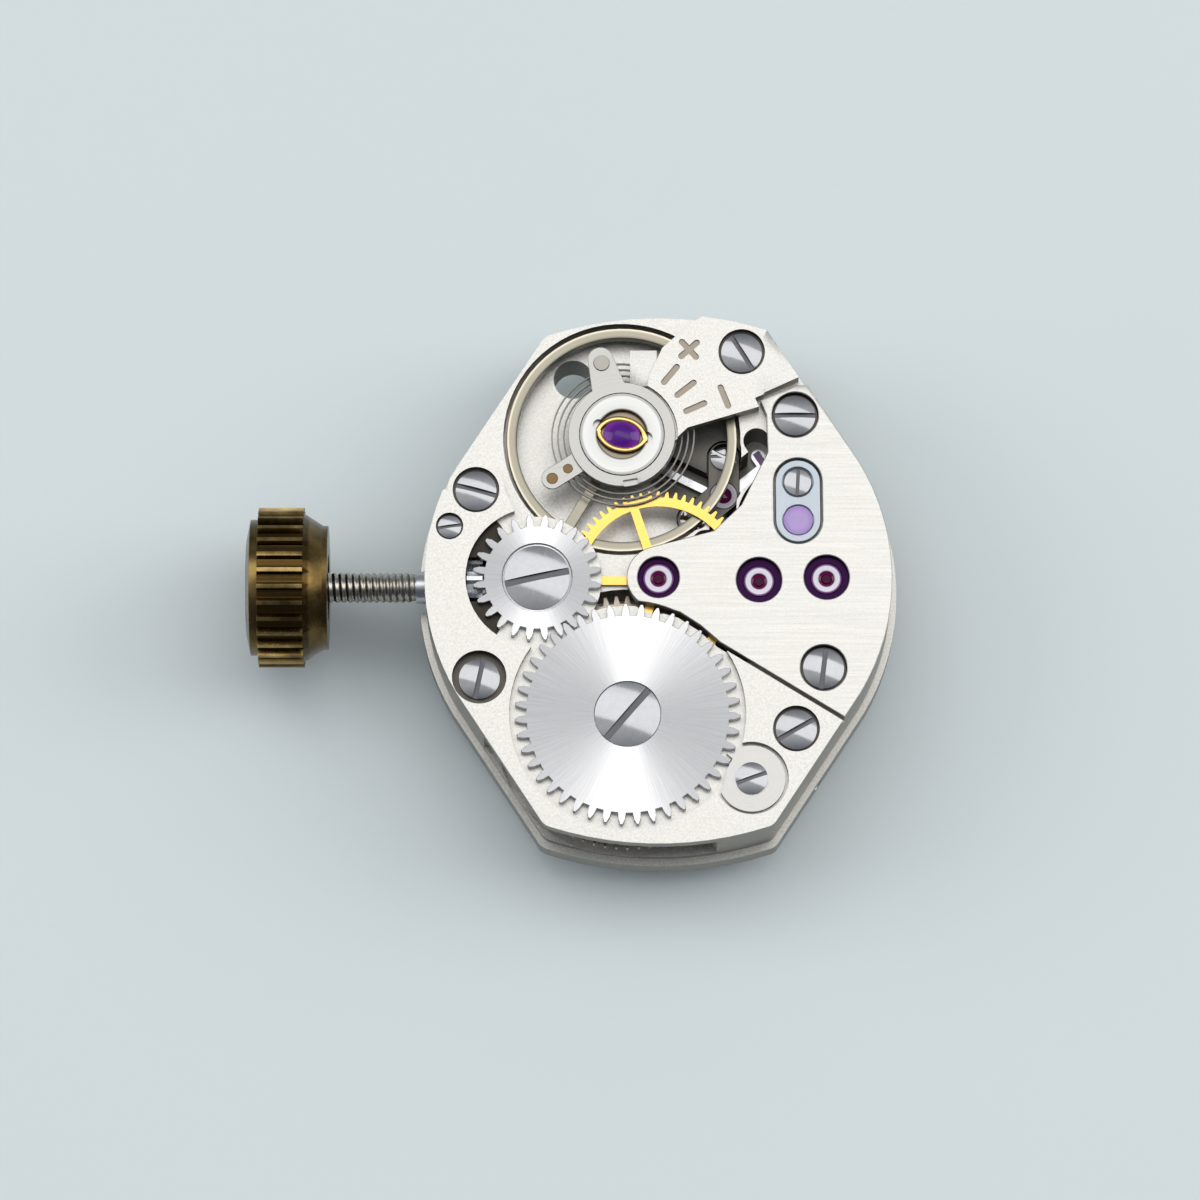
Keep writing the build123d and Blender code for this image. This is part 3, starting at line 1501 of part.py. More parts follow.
def crown():
    """The crown: domed cap, fluted knurl, conical skirt and a recessed throat."""
    dome, (knurl, knurl_end) = crown_dome_x, crown_knurl_x
    rise = (knurl - dome) / 3
    profile = [
        (0, dome), (crown_cap_r * crown_dome_share, dome), (crown_cap_r, dome + rise),
        (crown_cap_r, knurl), (crown_root_r, knurl), (crown_root_r, knurl_end),
        (crown_skirt_r, crown_skirt_x), (crown_skirt_r, crown_face_x),
        (crown_throat_r, crown_face_x), (crown_throat_r, crown_face_x - crown_throat_depth),
        (crown_bore_r, crown_face_x - crown_throat_depth),
        (crown_bore_r, stem_stations_x[0] - run_gap), (0, stem_stations_x[0] - run_gap),
    ]
    body = turned((0, 0), profile)
    flutes = gear_face(
        crown_flutes, tooth(crown_root_r - run_gap, crown_r, (crown_flute_share, crown_flute_share / 2)), 0
    )
    knurls = prism(flutes - Circle(crown_skirt_r), crown_knurl_x)
    return along_x(body + knurls)


def saw_ring(base, towards):
    """A ring of saw teeth that rise from a base station along X."""
    mean = (saw_inner_r + saw_outer_r) / 2
    half = saw_inner_r * math.sin(math.pi / saw_teeth)
    height = towards * (saw_depth - run_gap)
    corner = -half if towards > 0 else half
    side = outline([(-half, 0), (half, 0), (-corner, height)])
    block = extrude(side, (saw_outer_r - saw_inner_r) / 2, both=True)
    upright = Rot(0, 0, 90) * Rot(90, 0, 0) * block
    return [Rot(0, 0, 360 * n / saw_teeth) * Pos(mean, 0, base) * upright for n in range(saw_teeth)]


def winding_pinion():
    """The winding pinion: straight teeth under the crown wheel, saw teeth to the clutch."""
    low, high = winding_pinion_x
    base = high - saw_depth
    corners = tooth(winding_pinion_root_r, winding_pinion_tip_r, winding_pinion_shares)
    body = prism(gear_face(winding_pinion_teeth, corners, 180), (low, winding_pinion_face_x))
    body += disc((0, 0), winding_pinion_root_r, (winding_pinion_face_x, base))
    body = joined([body] + saw_ring(base, 1))
    return along_x(body - disc((0, 0), stem_neck_r + side_gap + run_gap, (low, high)))


def clutch_wheel():
    """The sliding clutch: saw teeth, the yoke's groove, and teeth for the setting wheel."""
    low, high = clutch_x
    steps = [low, (clutch_root_r, clutch_groove_x[0]), (clutch_groove_r, clutch_groove_x[1])]
    steps.append((clutch_root_r, high))
    body = stepped((0, 0), steps)
    corners = tooth(clutch_root_r - run_gap, clutch_tip_r, clutch_shares)
    body += prism(gear_face(clutch_teeth, corners, 0), (clutch_flange_x, high))
    body = joined([body] + saw_ring(low, -1))
    side = stem_square + 2 * run_gap
    return along_x(body) - span_box((low - overrun, high), (-side / 2, side / 2), (
        stem_z - side / 2, stem_z + side / 2))


def setting_lever():
    """The lever: hub on its screw, an arm to the stem's groove, a beak and a detent pin."""
    nose, pivot = nose_at(), lever_screw_at[:2]
    shoulder = ((nose[0] + pivot[0]) / 2, (nose[1] + pivot[1]) / 2)
    face = circle(pivot, lever_hub_r) + bar(pivot, nose, lever_arm_half_width)
    face += bar(pivot, lever_beak_at, lever_beak_half_width)
    face += bar(shoulder, lever_pin_at, lever_beak_half_width)
    face -= circle(pivot, lever_screw[3] + run_gap)
    lever = prism(face, lever_plate_z)
    lever += disc(nose, lever_nose_r, (lever_plate_z[0], lever_nose_top_z))
    return lever + disc(lever_pin_at, lever_pin_r, (cover_plate_z[0], lever_plate_z[1]))


def yoke():
    tip = (yoke_tip_x, 0)
    face = circle(yoke_pivot_at, yoke_hub_r) + bar(yoke_pivot_at, tip, yoke_half_width)
    arm = prism(face - circle(yoke_pivot_at, yoke_post_r + run_gap), lever_plate_z)
    half = yoke_tip_width / 2
    finger = span_box(
        (yoke_tip_x - half, yoke_tip_x + half), (-yoke_tip_length / 2, yoke_tip_length / 2),
        (lever_plate_z[0], yoke_tip_top_z),
    )
    return arm + finger


def yoke_spring():
    anchor, bend, tip = yoke_spring_points
    half = yoke_spring_width / 2
    face = bar(anchor, bend, half) + bar(bend, tip, half) + circle(anchor, yoke_hub_r)
    levels = (lever_plate_z[0] + side_gap, lever_plate_z[1] - side_gap)
    return prism(face - circle(anchor, yoke_post_r + run_gap), levels)


def cover_face(slack=0.0):
    """The cover plate's bars, and its arm to the setting lever's pin."""
    first, second = cover_screws[0][:2], cover_screws[1][:2]
    half = cover_boss_r + slack
    face = bar(first, second, half) + bar(second, setting_at, half) + bar(second, minute_at, half)
    return face + bar(first, cover_arm_end, cover_arm_half_width + slack)


def setting_lever_jumper():
    """The cover plate on the dial side, with the spring arm that holds the lever's pin."""
    face = cover_face()
    for at in cover_screws:
        face -= circle(at, small_screw[3] + run_gap)
    return prism(face, cover_plate_z)


def setting_wheel():
    face = wheel_face(motion_module, setting_teeth, setting_phase, setting_at)
    return prism(face - circle(setting_at, motion_post_r + run_gap), motion_wheel_z)


def minute_wheel():
    bore = circle(minute_at, motion_post_r + run_gap)
    face = wheel_face(motion_module, minute_teeth, minute_phase, minute_at)
    wheel = prism(face - bore, motion_wheel_z)
    leaves = leaves_face(motion_module, minute_leaves, minute_pinion_phase, minute_at) - bore
    return wheel + prism(leaves, minute_leaf_z)


def cannon_pinion():
    """The cannon pinion: leaves in the plate, and a pipe that steps down to the hand's seat."""
    bore = circle(centre_at, centre_post_r + run_gap)
    leaves = leaves_face(motion_module, cannon_leaves, cannon_phase, centre_at) - bore
    shoulder = cannon_pipe_end_z + minute_seat_length
    pipe = prism(circle(centre_at, cannon_pipe_r) - bore, (shoulder, cannon_leaf_z[0]))
    seat = prism(circle(centre_at, minute_seat_r) - bore, (cannon_pipe_end_z, shoulder))
    return prism(leaves, cannon_leaf_z) + pipe + seat


def hour_wheel():
    """The hour wheel with its pipe for the hour hand."""
    bore = circle(centre_at, cannon_pipe_r + run_gap)
    face = wheel_face(motion_module, hour_teeth, hour_phase, centre_at)
    wheel = prism(face - bore, hour_wheel_z)
    return wheel + prism(circle(centre_at, hour_pipe_r) - bore, (hour_pipe_end_z, hour_wheel_z[1]))


def lever_screw_piece():
    return screw(lever_screw, lever_screw_at, bridge_top_z - screw_sink)


os.makedirs("parts", exist_ok=True)
nodes = {
    "mainplate": mainplate,
    "barrel_bridge": barrel_bridge,
    "train_bridge": train_bridge,
    "balance_cock": balance_cock,
    "pallet_cock": pallet_cock,
    "bridge_screws": bridge_screws,
    "small_screws": small_screws,
    "setting_lever_screw": lever_screw_piece,
    "train_jewels": train_jewels,
    "endstone_plate": endstone_plate,
    "escape_endstone": escape_endstone,
    "shock_blocks": shock_blocks,
    "shock_cap_jewels": shock_cap_jewels,
    "shock_hole_jewels": shock_hole_jewels,
    "shock_springs": shock_springs,
    "regulator_index": regulator_index,
    "curb_pins": curb_pin_pair,
    "stud_carrier": stud_carrier,
    "hairspring_stud": hairspring_stud,
    "hairspring": hairspring,
    "hairspring_collet": hairspring_collet,
    "balance_wheel": balance_wheel,
    "balance_staff": balance_staff,
    "balance_roller": balance_roller,
    "impulse_pin": impulse_pin,
    "pallet_fork": pallet_fork,
    "pallet_arbor": pallet_arbor,
    "pallet_stones": pallet_stones,
    "escape_wheel": escape_wheel,
    "escape_pinion": escape_pinion,
    "fourth_wheel": fourth_wheel,
    "fourth_pinion": fourth_pinion,
    "third_wheel": third_wheel,
    "third_pinion": third_pinion,
    "centre_wheel": centre_wheel,
    "centre_pinion": centre_pinion,
    "barrel_drum": barrel_drum,
    "barrel_cover": barrel_cover,
    "barrel_arbor": barrel_arbor,
    "mainspring": mainspring,
    "ratchet_wheel": ratchet_wheel,
    "ratchet_screw": ratchet_screw,
    "crown_wheel": crown_wheel,
    "crown_wheel_core": crown_wheel_core,
    "crown_wheel_screw": crown_wheel_screw,
    "click": click,
    "click_screw": click_screw,
    "click_spring": click_spring,
    "stem": stem,
    "crown": crown,
    "winding_pinion": winding_pinion,
    "clutch_wheel": clutch_wheel,
    "setting_lever": setting_lever,
    "yoke": yoke,
    "setting_lever_jumper": setting_lever_jumper,
    "setting_wheel": setting_wheel,
    "minute_wheel": minute_wheel,
    "cannon_pinion": cannon_pinion,
    "hour_wheel": hour_wheel,
    "yoke_spring": yoke_spring,
}
for name, make in nodes.items():
    export_step(make(), f"parts/{name}.step")
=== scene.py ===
"""A small hand-wound watch movement: finishes, engraved marks, stem thread, lyre springs and stage.

Every piece is placed in the frame's own metres, with +Z up to the bridges and the stem along -X.
"""

import json
import math

import bpy
import numpy as np
from bpy.props import FloatProperty, FloatVectorProperty, PointerProperty
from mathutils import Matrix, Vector

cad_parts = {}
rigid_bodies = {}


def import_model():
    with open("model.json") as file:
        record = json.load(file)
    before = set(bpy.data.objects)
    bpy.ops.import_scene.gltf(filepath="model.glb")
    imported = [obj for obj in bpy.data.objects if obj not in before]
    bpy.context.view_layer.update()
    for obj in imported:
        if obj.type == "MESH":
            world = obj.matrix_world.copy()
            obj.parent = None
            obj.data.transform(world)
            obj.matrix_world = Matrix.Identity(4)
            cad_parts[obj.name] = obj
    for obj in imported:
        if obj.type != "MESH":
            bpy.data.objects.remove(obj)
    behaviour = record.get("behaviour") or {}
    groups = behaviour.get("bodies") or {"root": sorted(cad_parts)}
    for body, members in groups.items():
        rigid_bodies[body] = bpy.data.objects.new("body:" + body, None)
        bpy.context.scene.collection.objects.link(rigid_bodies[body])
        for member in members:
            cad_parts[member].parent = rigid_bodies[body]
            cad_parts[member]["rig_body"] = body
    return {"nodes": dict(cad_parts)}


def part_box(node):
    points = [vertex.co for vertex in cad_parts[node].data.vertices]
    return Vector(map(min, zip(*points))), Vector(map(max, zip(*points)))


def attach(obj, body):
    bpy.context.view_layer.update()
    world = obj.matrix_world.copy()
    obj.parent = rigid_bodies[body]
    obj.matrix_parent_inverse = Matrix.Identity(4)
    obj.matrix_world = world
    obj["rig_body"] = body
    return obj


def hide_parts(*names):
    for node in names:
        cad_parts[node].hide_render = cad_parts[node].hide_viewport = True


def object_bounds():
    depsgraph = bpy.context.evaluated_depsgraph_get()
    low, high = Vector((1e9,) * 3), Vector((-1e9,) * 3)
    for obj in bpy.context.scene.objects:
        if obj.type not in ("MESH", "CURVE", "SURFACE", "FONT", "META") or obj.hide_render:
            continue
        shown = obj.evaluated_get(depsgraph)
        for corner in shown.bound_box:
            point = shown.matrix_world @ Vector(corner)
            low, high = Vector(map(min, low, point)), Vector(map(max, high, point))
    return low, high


bl_info = {
    "name": "Watch movement",
    "version": (1, 0, 0),
    "blender": (4, 5, 0),
    "location": "View3D > Sidebar > Movement",
    "description": "Dresses a packed watch movement and builds its stage",
    "category": "Object",
}

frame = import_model()
CAD_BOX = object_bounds()
MM = 0.001


# Places of the arbors and screws, in millimetres

CENTRE = (0.0, 0.0)
THIRD = (3.44, -0.09)
FOURTH = (5.75, 0.0)
ESCAPE = (4.79, 2.02)
BALANCE = (-1.25, 5.02)
BARREL = (-1.06, -4.78)
CROWN_WHEEL = (-4.15, 0.0)
CLICK = (3.16, -7.02)
PALLET = (2.259, 3.277)
SETTING_LEVER_SCREW = (-7.15, 1.80)
STEM_LEVEL = 2.00

# Screw nodes, as head radius, fall of the dome, slot width and depth, then each screw's x, y and slot angle

SCREWS = {
    "bridge_screws": (0.70, 0.095, 0.17, 0.17, (
        (-6.25, 3.08, -15.0), (-6.12, -3.50, 78.0), (4.69, -5.30, 30.0), (4.70, 5.73, 0.0),
        (5.63, -3.17, 83.0), (2.87, 7.94, -58.0),
    )),
    "small_screws": (0.46, 0.045, 0.12, 0.08, (
        (4.78, 3.36, 87.0), (2.269, 4.627, 0.0), (1.219, 2.417, -50.0),
    )),
    "setting_lever_screw": (0.40, 0.055, 0.11, 0.11, ((*SETTING_LEVER_SCREW, 8.0),)),
    "crown_wheel_screw": (1.12, 0.110, 0.24, 0.145, ((*CROWN_WHEEL, 12.0),)),
    "ratchet_screw": (1.12, 0.110, 0.24, 0.145, ((*BARREL, 49.5),)),
    "click_screw": (0.55, 0.070, 0.14, 0.11, ((*CLICK, 20.0),)),
}

# Small screws on the dial side, left as they are, and the top, foot and radius of what spares them

UNDER_SCREWS = ((-6.30, 3.05), (-3.30, 2.35), (5.10, -6.43), (-5.10, 6.43))
UNDER_BLOCK = (0.80, -0.20, 0.60)

# Painted shade in the sinks and recesses of the plates, as their axes, reach and colour, between two levels;
# the jewels' sinks take painted shade with a painted purple reflection

SHADED_SINK_LEVELS = (2.6, 3.55)
SCREW_SINK_SHADE = (0.10, 0.092, 0.08)
SHADED_SINKS = (
    ((CENTRE, THIRD, FOURTH), 0.80, (0.028, 0.008, 0.040)),
    (tuple(screw[:2] for screw in SCREWS["bridge_screws"][-1]), 0.94, SCREW_SINK_SHADE),
    ((SETTING_LEVER_SCREW,), 0.48, SCREW_SINK_SHADE),
    (((-6.00, 1.50), (-6.38, 0.35), (-6.38, -0.70), (-6.10, -1.50)), 0.72, (0.040, 0.036, 0.030)),
)

# The painted shadow on the plate under the escapement, which starts at the first reach and is full at the
# second

SHADOW_PLACE = (1.75, 3.90)
SHADOW_REACH = (2.5, 1.3)
SHADOW_TOP = 2.5

# The marks on the balance cock, and the lyre springs' turn in degrees, half length, half width, broadness

PLUS_AT = (1.06, 8.02)
PLUS_ARM = 0.36
PLUS_TURN = 42
INDEX_LINES = (
    ((0.20, 6.86), (0.64, 7.40)), ((0.66, 6.40), (1.22, 6.84)), ((0.96, 5.83), (1.58, 6.11)),
    ((2.14, 6.67), (2.40, 6.02)),
)
LYRE_SHAPE = (-12.0, 0.82, 0.54)
LYRE_BROADNESS = 2.0

# Radii on the jewels, the shock setting and the crown, a level on the pinions and the ends of the thread

JEWEL_RADIUS = 0.52
SETTING_RADIUS = 1.5
CROWN_FLUTES = (2.57, 2.74)
CROWN_CAP = (2.45, 2.40)
PIVOT_LEVEL = 3.05
THREAD_ENDS = (-11.80, -8.34)

# How far a cutter reaches past its work, how near a face counts as on it, and a level above all

OVERCUT = 0.2
SLACK = 0.002
ABOVE_ALL = 50.0

# The camera: degrees above the floor, distance in metres, what it looks at, and its scale

CAMERA_ELEVATION = 76.8
CAMERA_REACH = 0.300
CAMERA_TARGET = (-2.0, -0.807, 3.6)
PIXELS_PER_MM = 29.27
PICTURE_PIXELS = 1200


class MovementSizes(bpy.types.PropertyGroup):
    """Sizes that a maker might change, in millimetres"""

    thread_pitch: FloatProperty(
        name="Thread pitch", description="Step of the stem's thread", default=0.225, min=0.1, max=0.5
    )
    thread_root: FloatProperty(
        name="Thread root", description="Radius at the root of the thread", default=0.450, min=0.3, max=0.6
    )
    thread_depth: FloatProperty(
        name="Thread depth", description="Height of the thread's ridge", default=0.075, min=0.02, max=0.2
    )
    mark_depth: FloatProperty(
        name="Mark depth", description="Depth of the marks cut in the cock", default=0.07, min=0.01, max=0.2
    )
    mark_width: FloatProperty(
        name="Mark width", description="Width of the marks cut in the cock", default=0.21, min=0.05, max=0.4
    )
    lyre_wire: FloatProperty(
        name="Lyre wire", description="Thickness of the lyre springs' wire", default=0.09, min=0.02, max=0.15
    )
    plate_bevel: FloatProperty(
        name="Plate bevel", description="Rounding of the plate's and bridges' edges", default=0.028, min=0.0
    )
    wheel_bevel: FloatProperty(
        name="Wheel bevel", description="Rounding of wheels and screw heads", default=0.015, min=0.0
    )
    head_dome: FloatProperty(
        name="Head dome", description="Share of the screw heads' doming", default=1.0, min=0.05, max=1.3
    )


RGB = {"subtype": "COLOR", "size": 3}


class MovementColours(bpy.types.PropertyGroup):
    """Colours of the finishes, as linear light"""

    nickel: FloatVectorProperty(
        name="Nickel", description="Plate and bridges", default=(0.60, 0.60, 0.58), **RGB
    )
    steel: FloatVectorProperty(
        name="Steel", description="Pinions, arbors, levers and setting work",
        default=(0.50, 0.51, 0.53), **RGB,
    )
    screw: FloatVectorProperty(
        name="Screw steel", description="Polished screw heads", default=(0.33, 0.335, 0.35), **RGB
    )
    brushed: FloatVectorProperty(
        name="Brushed steel", description="Winding wheels and their core",
        default=(0.70, 0.70, 0.70), **RGB,
    )
    gilt: FloatVectorProperty(
        name="Gilt", description="Train wheels and hour wheel", default=(0.74, 0.47, 0.12), **RGB
    )
    barrel: FloatVectorProperty(
        name="Barrel", description="Barrel drum and cover", default=(0.36, 0.31, 0.25), **RGB
    )
    balance: FloatVectorProperty(
        name="Balance", description="Balance wheel", default=(0.29, 0.27, 0.215), **RGB
    )
    index: FloatVectorProperty(
        name="Index steel", description="Regulator index and stud carrier",
        default=(0.40, 0.395, 0.375), **RGB,
    )
    ruby: FloatVectorProperty(name="Ruby", description="Train jewels", default=(0.36, 0.012, 0.17), **RGB)
    crown: FloatVectorProperty(
        name="Crown brass", description="Aged crown", default=(0.66, 0.47, 0.18), **RGB
    )
    floor: FloatVectorProperty(name="Floor", description="Pale floor", default=(0.73, 0.80, 0.81), **RGB)


def sizes():
    return bpy.context.scene.movement_sizes


def colours():
    return bpy.context.scene.movement_colours


# Shader building blocks


def tinted(colour, *factors):
    """A colour times one factor, or times one factor for each channel."""
    return tuple(c * k for c, k in zip(colour, factors * 3 if len(factors) == 1 else factors))


def new_group(name, ins, outs):
    """An empty shader node group, with the sockets of what it is given and of what it has made."""
    tree = bpy.data.node_groups.new(name, "ShaderNodeTree")
    for label, kind, value in ins:
        socket = tree.interface.new_socket(label, in_out="INPUT", socket_type=kind)
        if value is not None:
            socket.default_value = value
    for label, kind in outs:
        tree.interface.new_socket(label, in_out="OUTPUT", socket_type=kind)
    return tree, tree.nodes.new("NodeGroupInput").outputs, tree.nodes.new("NodeGroupOutput").inputs


def connect(tree, value, socket):
    """Links a value to an input where it is a socket, and otherwise sets the input to it."""
    if isinstance(value, bpy.types.NodeSocket):
        tree.links.new(value, socket)
    elif socket.type == "RGBA":
        socket.default_value = (*value, 1.0)
    else:
        socket.default_value = value


def put(tree, kind, **settings):
    """A node with its settings, then its inputs: one named in_0 or in_Scale sets or links that input."""
    made = tree.nodes.new(kind)
    for key, value in settings.items():
        if key.startswith("in_"):
            label = key[3:].replace("_", " ")
            connect(tree, value, made.inputs[int(label) if label.isdigit() else label])
        else:
            setattr(made, key, value)
    return made


def group(tree, name, **links):
    """A node that holds one of the shader groups."""
    return put(tree, "ShaderNodeGroup", node_tree=bpy.data.node_groups[name], **links)


def maths(tree, operation, first, second=None, third=None, clamp=False):
    """The outcome of one operation on up to three values."""
    made = put(tree, "ShaderNodeMath", operation=operation, use_clamp=clamp)
    for place, value in enumerate((first, second, third)):
        if value is not None:
            connect(tree, value, made.inputs[place])
    return made.outputs[0]


def vectors(tree, operation, first, second=None):
    """The outcome of one operation on vectors, as a vector or, for a length, a value."""
    made = put(tree, "ShaderNodeVectorMath", operation=operation, in_0=first)
    if second is not None:
        connect(tree, second, made.inputs[1])
    return made.outputs["Value" if operation == "LENGTH" else "Vector"]


def noise(tree, place, scale=1.0, detail=2.0, roughness=0.5):
    """Noise from 0 to 1 over a place."""
    return put(tree, "ShaderNodeTexNoise", in_Vector=place, in_Scale=scale, in_Detail=detail,
               in_Roughness=roughness).outputs[0]


def rising(tree, value, start, end, top=1.0, kind="LINEAR"):
    """0 up to a start, then rising to the top at the end."""
    return put(tree, "ShaderNodeMapRange", interpolation_type=kind, in_Value=value, in_From_Min=start,
               in_From_Max=end, in_To_Max=top).outputs[0]


def blend_colour(tree, share, first, second, mode="MIX"):
    """The first colour with a share of the second over it."""
    made = put(tree, "ShaderNodeMix", data_type="RGBA", blend_type=mode)
    for place, value in ((0, share), (6, first), (7, second)):
        connect(tree, value, made.inputs[place])
    return made.outputs[2]


def ramp(tree, value, stops):
    """A colour ramp from (position, colour) stops."""
    made = put(tree, "ShaderNodeValToRGB", in_0=value)
    elements = made.color_ramp.elements
    while len(elements) < len(stops):
        elements.new(1.0)
    for element, (position, colour) in zip(elements, stops):
        element.position = position
        element.color = (*colour, 1.0)
    return made.outputs["Color"]


def between_levels(tree, low, high):
    """A mask that is 1 between two levels in millimetres, and 0 elsewhere."""
    place = put(tree, "ShaderNodeTexCoord").outputs["Object"]
    level = put(tree, "ShaderNodeSeparateXYZ", in_0=place).outputs[2]
    above = maths(tree, "GREATER_THAN", level, low * MM)
    below = maths(tree, "LESS_THAN", level, high * MM)
    return maths(tree, "MULTIPLY", above, below)


def retouch(material, mask, colour):
    """Lays a colour over a finished material where the mask says."""
    tree = material.node_tree
    base = tree.nodes["Principled BSDF"].inputs["Base Color"]
    tone = base.links[0].from_socket
    tree.links.new(blend_colour(tree, mask, tone, colour), base)


def grain_group():
    """Fine matt grain: a fine noise over a soft cloud, as a shade and a height."""
    tree, given, made = new_group(
        "fine_grain",
        [("Place", "NodeSocketVector", None), ("Grain per mm", "NodeSocketFloat", 14.0),
         ("Cloud per mm", "NodeSocketFloat", 0.5)],
        [("Shade", "NodeSocketFloat"), ("Height", "NodeSocketFloat")],
    )
    fine_scale = maths(tree, "MULTIPLY", given["Grain per mm"], 1 / MM)
    cloud_scale = maths(tree, "MULTIPLY", given["Cloud per mm"], 1 / MM)
    fine = noise(tree, given["Place"], fine_scale, 3.0, 0.7)
    cloud = noise(tree, given["Place"], cloud_scale)
    shade = maths(tree, "ADD", maths(tree, "MULTIPLY", fine, 0.6), maths(tree, "MULTIPLY", cloud, 0.4))
    tree.links.new(shade, made["Shade"])
    tree.links.new(fine, made["Height"])
    return tree


def polar_group():
    """Distance and angle from an upright axis, with the direction along the circle round it."""
    tree, given, made = new_group(
        "polar_place",
        [("Place", "NodeSocketVector", None), ("Axis at", "NodeSocketVector", None)],
        [("Radius mm", "NodeSocketFloat"), ("Angle", "NodeSocketFloat"), ("Tangent", "NodeSocketVector")],
    )
    off = vectors(tree, "SUBTRACT", given["Place"], given["Axis at"])
    flat = vectors(tree, "MULTIPLY", off, (1.0, 1.0, 0.0))
    parts = put(tree, "ShaderNodeSeparateXYZ", in_0=flat)
    angle = maths(tree, "ARCTAN2", parts.outputs[1], parts.outputs[0])
    turned = vectors(tree, "CROSS_PRODUCT", (0.0, 0.0, 1.0), flat)
    radius = maths(tree, "DIVIDE", vectors(tree, "LENGTH", flat), MM)
    tree.links.new(radius, made["Radius mm"])
    tree.links.new(angle, made["Angle"])
    tree.links.new(vectors(tree, "NORMALIZE", turned), made["Tangent"])
    return tree


def nearest_group():
    """Keeps the smaller of a given distance and the distance to one more upright axis."""
    tree, given, made = new_group(
        "nearest_axis",
        [("Place", "NodeSocketVector", None), ("Axis at", "NodeSocketVector", None),
         ("So far mm", "NodeSocketFloat", 1000.0)],
        [("Nearest mm", "NodeSocketFloat")],
    )
    polar = group(tree, "polar_place", in_Place=given["Place"], in_Axis_at=given["Axis at"])
    least = maths(tree, "MINIMUM", polar.outputs["Radius mm"], given["So far mm"])
    tree.links.new(least, made["Nearest mm"])
    return tree


def sunray_group():
    """Fine lines that run out from an axis: noise over the angle, stretched along the radius."""
    tree, given, made = new_group(
        "sunray_lines",
        [("Angle", "NodeSocketFloat", 0.0), ("Radius mm", "NodeSocketFloat", 0.0),
         ("Lines", "NodeSocketFloat", 60.0)],
        [("Shade", "NodeSocketFloat")],
    )
    sweep = maths(tree, "MULTIPLY", given["Angle"], given["Lines"])
    along = maths(tree, "MULTIPLY", given["Radius mm"], 0.5)
    place = put(tree, "ShaderNodeCombineXYZ", in_0=sweep, in_1=along)
    tree.links.new(noise(tree, place.outputs[0], detail=4.0, roughness=0.75), made["Shade"])
    return tree


def lathe_group():
    """Fine rings round an axis, as on a turned face: noise over the radius and, more slowly, the angle."""
    tree, given, made = new_group(
        "lathe_rings",
        [("Radius mm", "NodeSocketFloat", 0.0), ("Angle", "NodeSocketFloat", 0.0),
         ("Rings per mm", "NodeSocketFloat", 18.0)],
        [("Shade", "NodeSocketFloat")],
    )
    rings = maths(tree, "MULTIPLY", given["Radius mm"], given["Rings per mm"])
    place = put(tree, "ShaderNodeCombineXYZ", in_0=rings, in_1=given["Angle"])
    tree.links.new(noise(tree, place.outputs[0], detail=3.0), made["Shade"])
    return tree


def scratch_group():
    """Sparse hairline scratches in two directions, as a mask."""
    tree, given, made = new_group(
        "hairlines",
        [("Place", "NodeSocketVector", None), ("Amount", "NodeSocketFloat", 0.5)],
        [("Mask", "NodeSocketFloat")],
    )
    masks = []
    for stretch, turn in (((900.0, 24000.0, 900.0), 0.5), ((24000.0, 1100.0, 900.0), -0.3)):
        mapped = put(tree, "ShaderNodeMapping", in_Vector=given["Place"],
                     in_Rotation=(0.0, 0.0, turn), in_Scale=stretch)
        peaks = maths(tree, "SUBTRACT", noise(tree, mapped.outputs[0], detail=1.0), 0.66, clamp=True)
        masks.append(maths(tree, "MULTIPLY", peaks, 6.0, clamp=True))
    both = maths(tree, "MAXIMUM", masks[0], masks[1])
    tree.links.new(maths(tree, "MULTIPLY", both, given["Amount"]), made["Mask"])
    return tree


def build_groups():
    for make in (grain_group, polar_group, nearest_group, sunray_group, lathe_group, scratch_group):
        make()


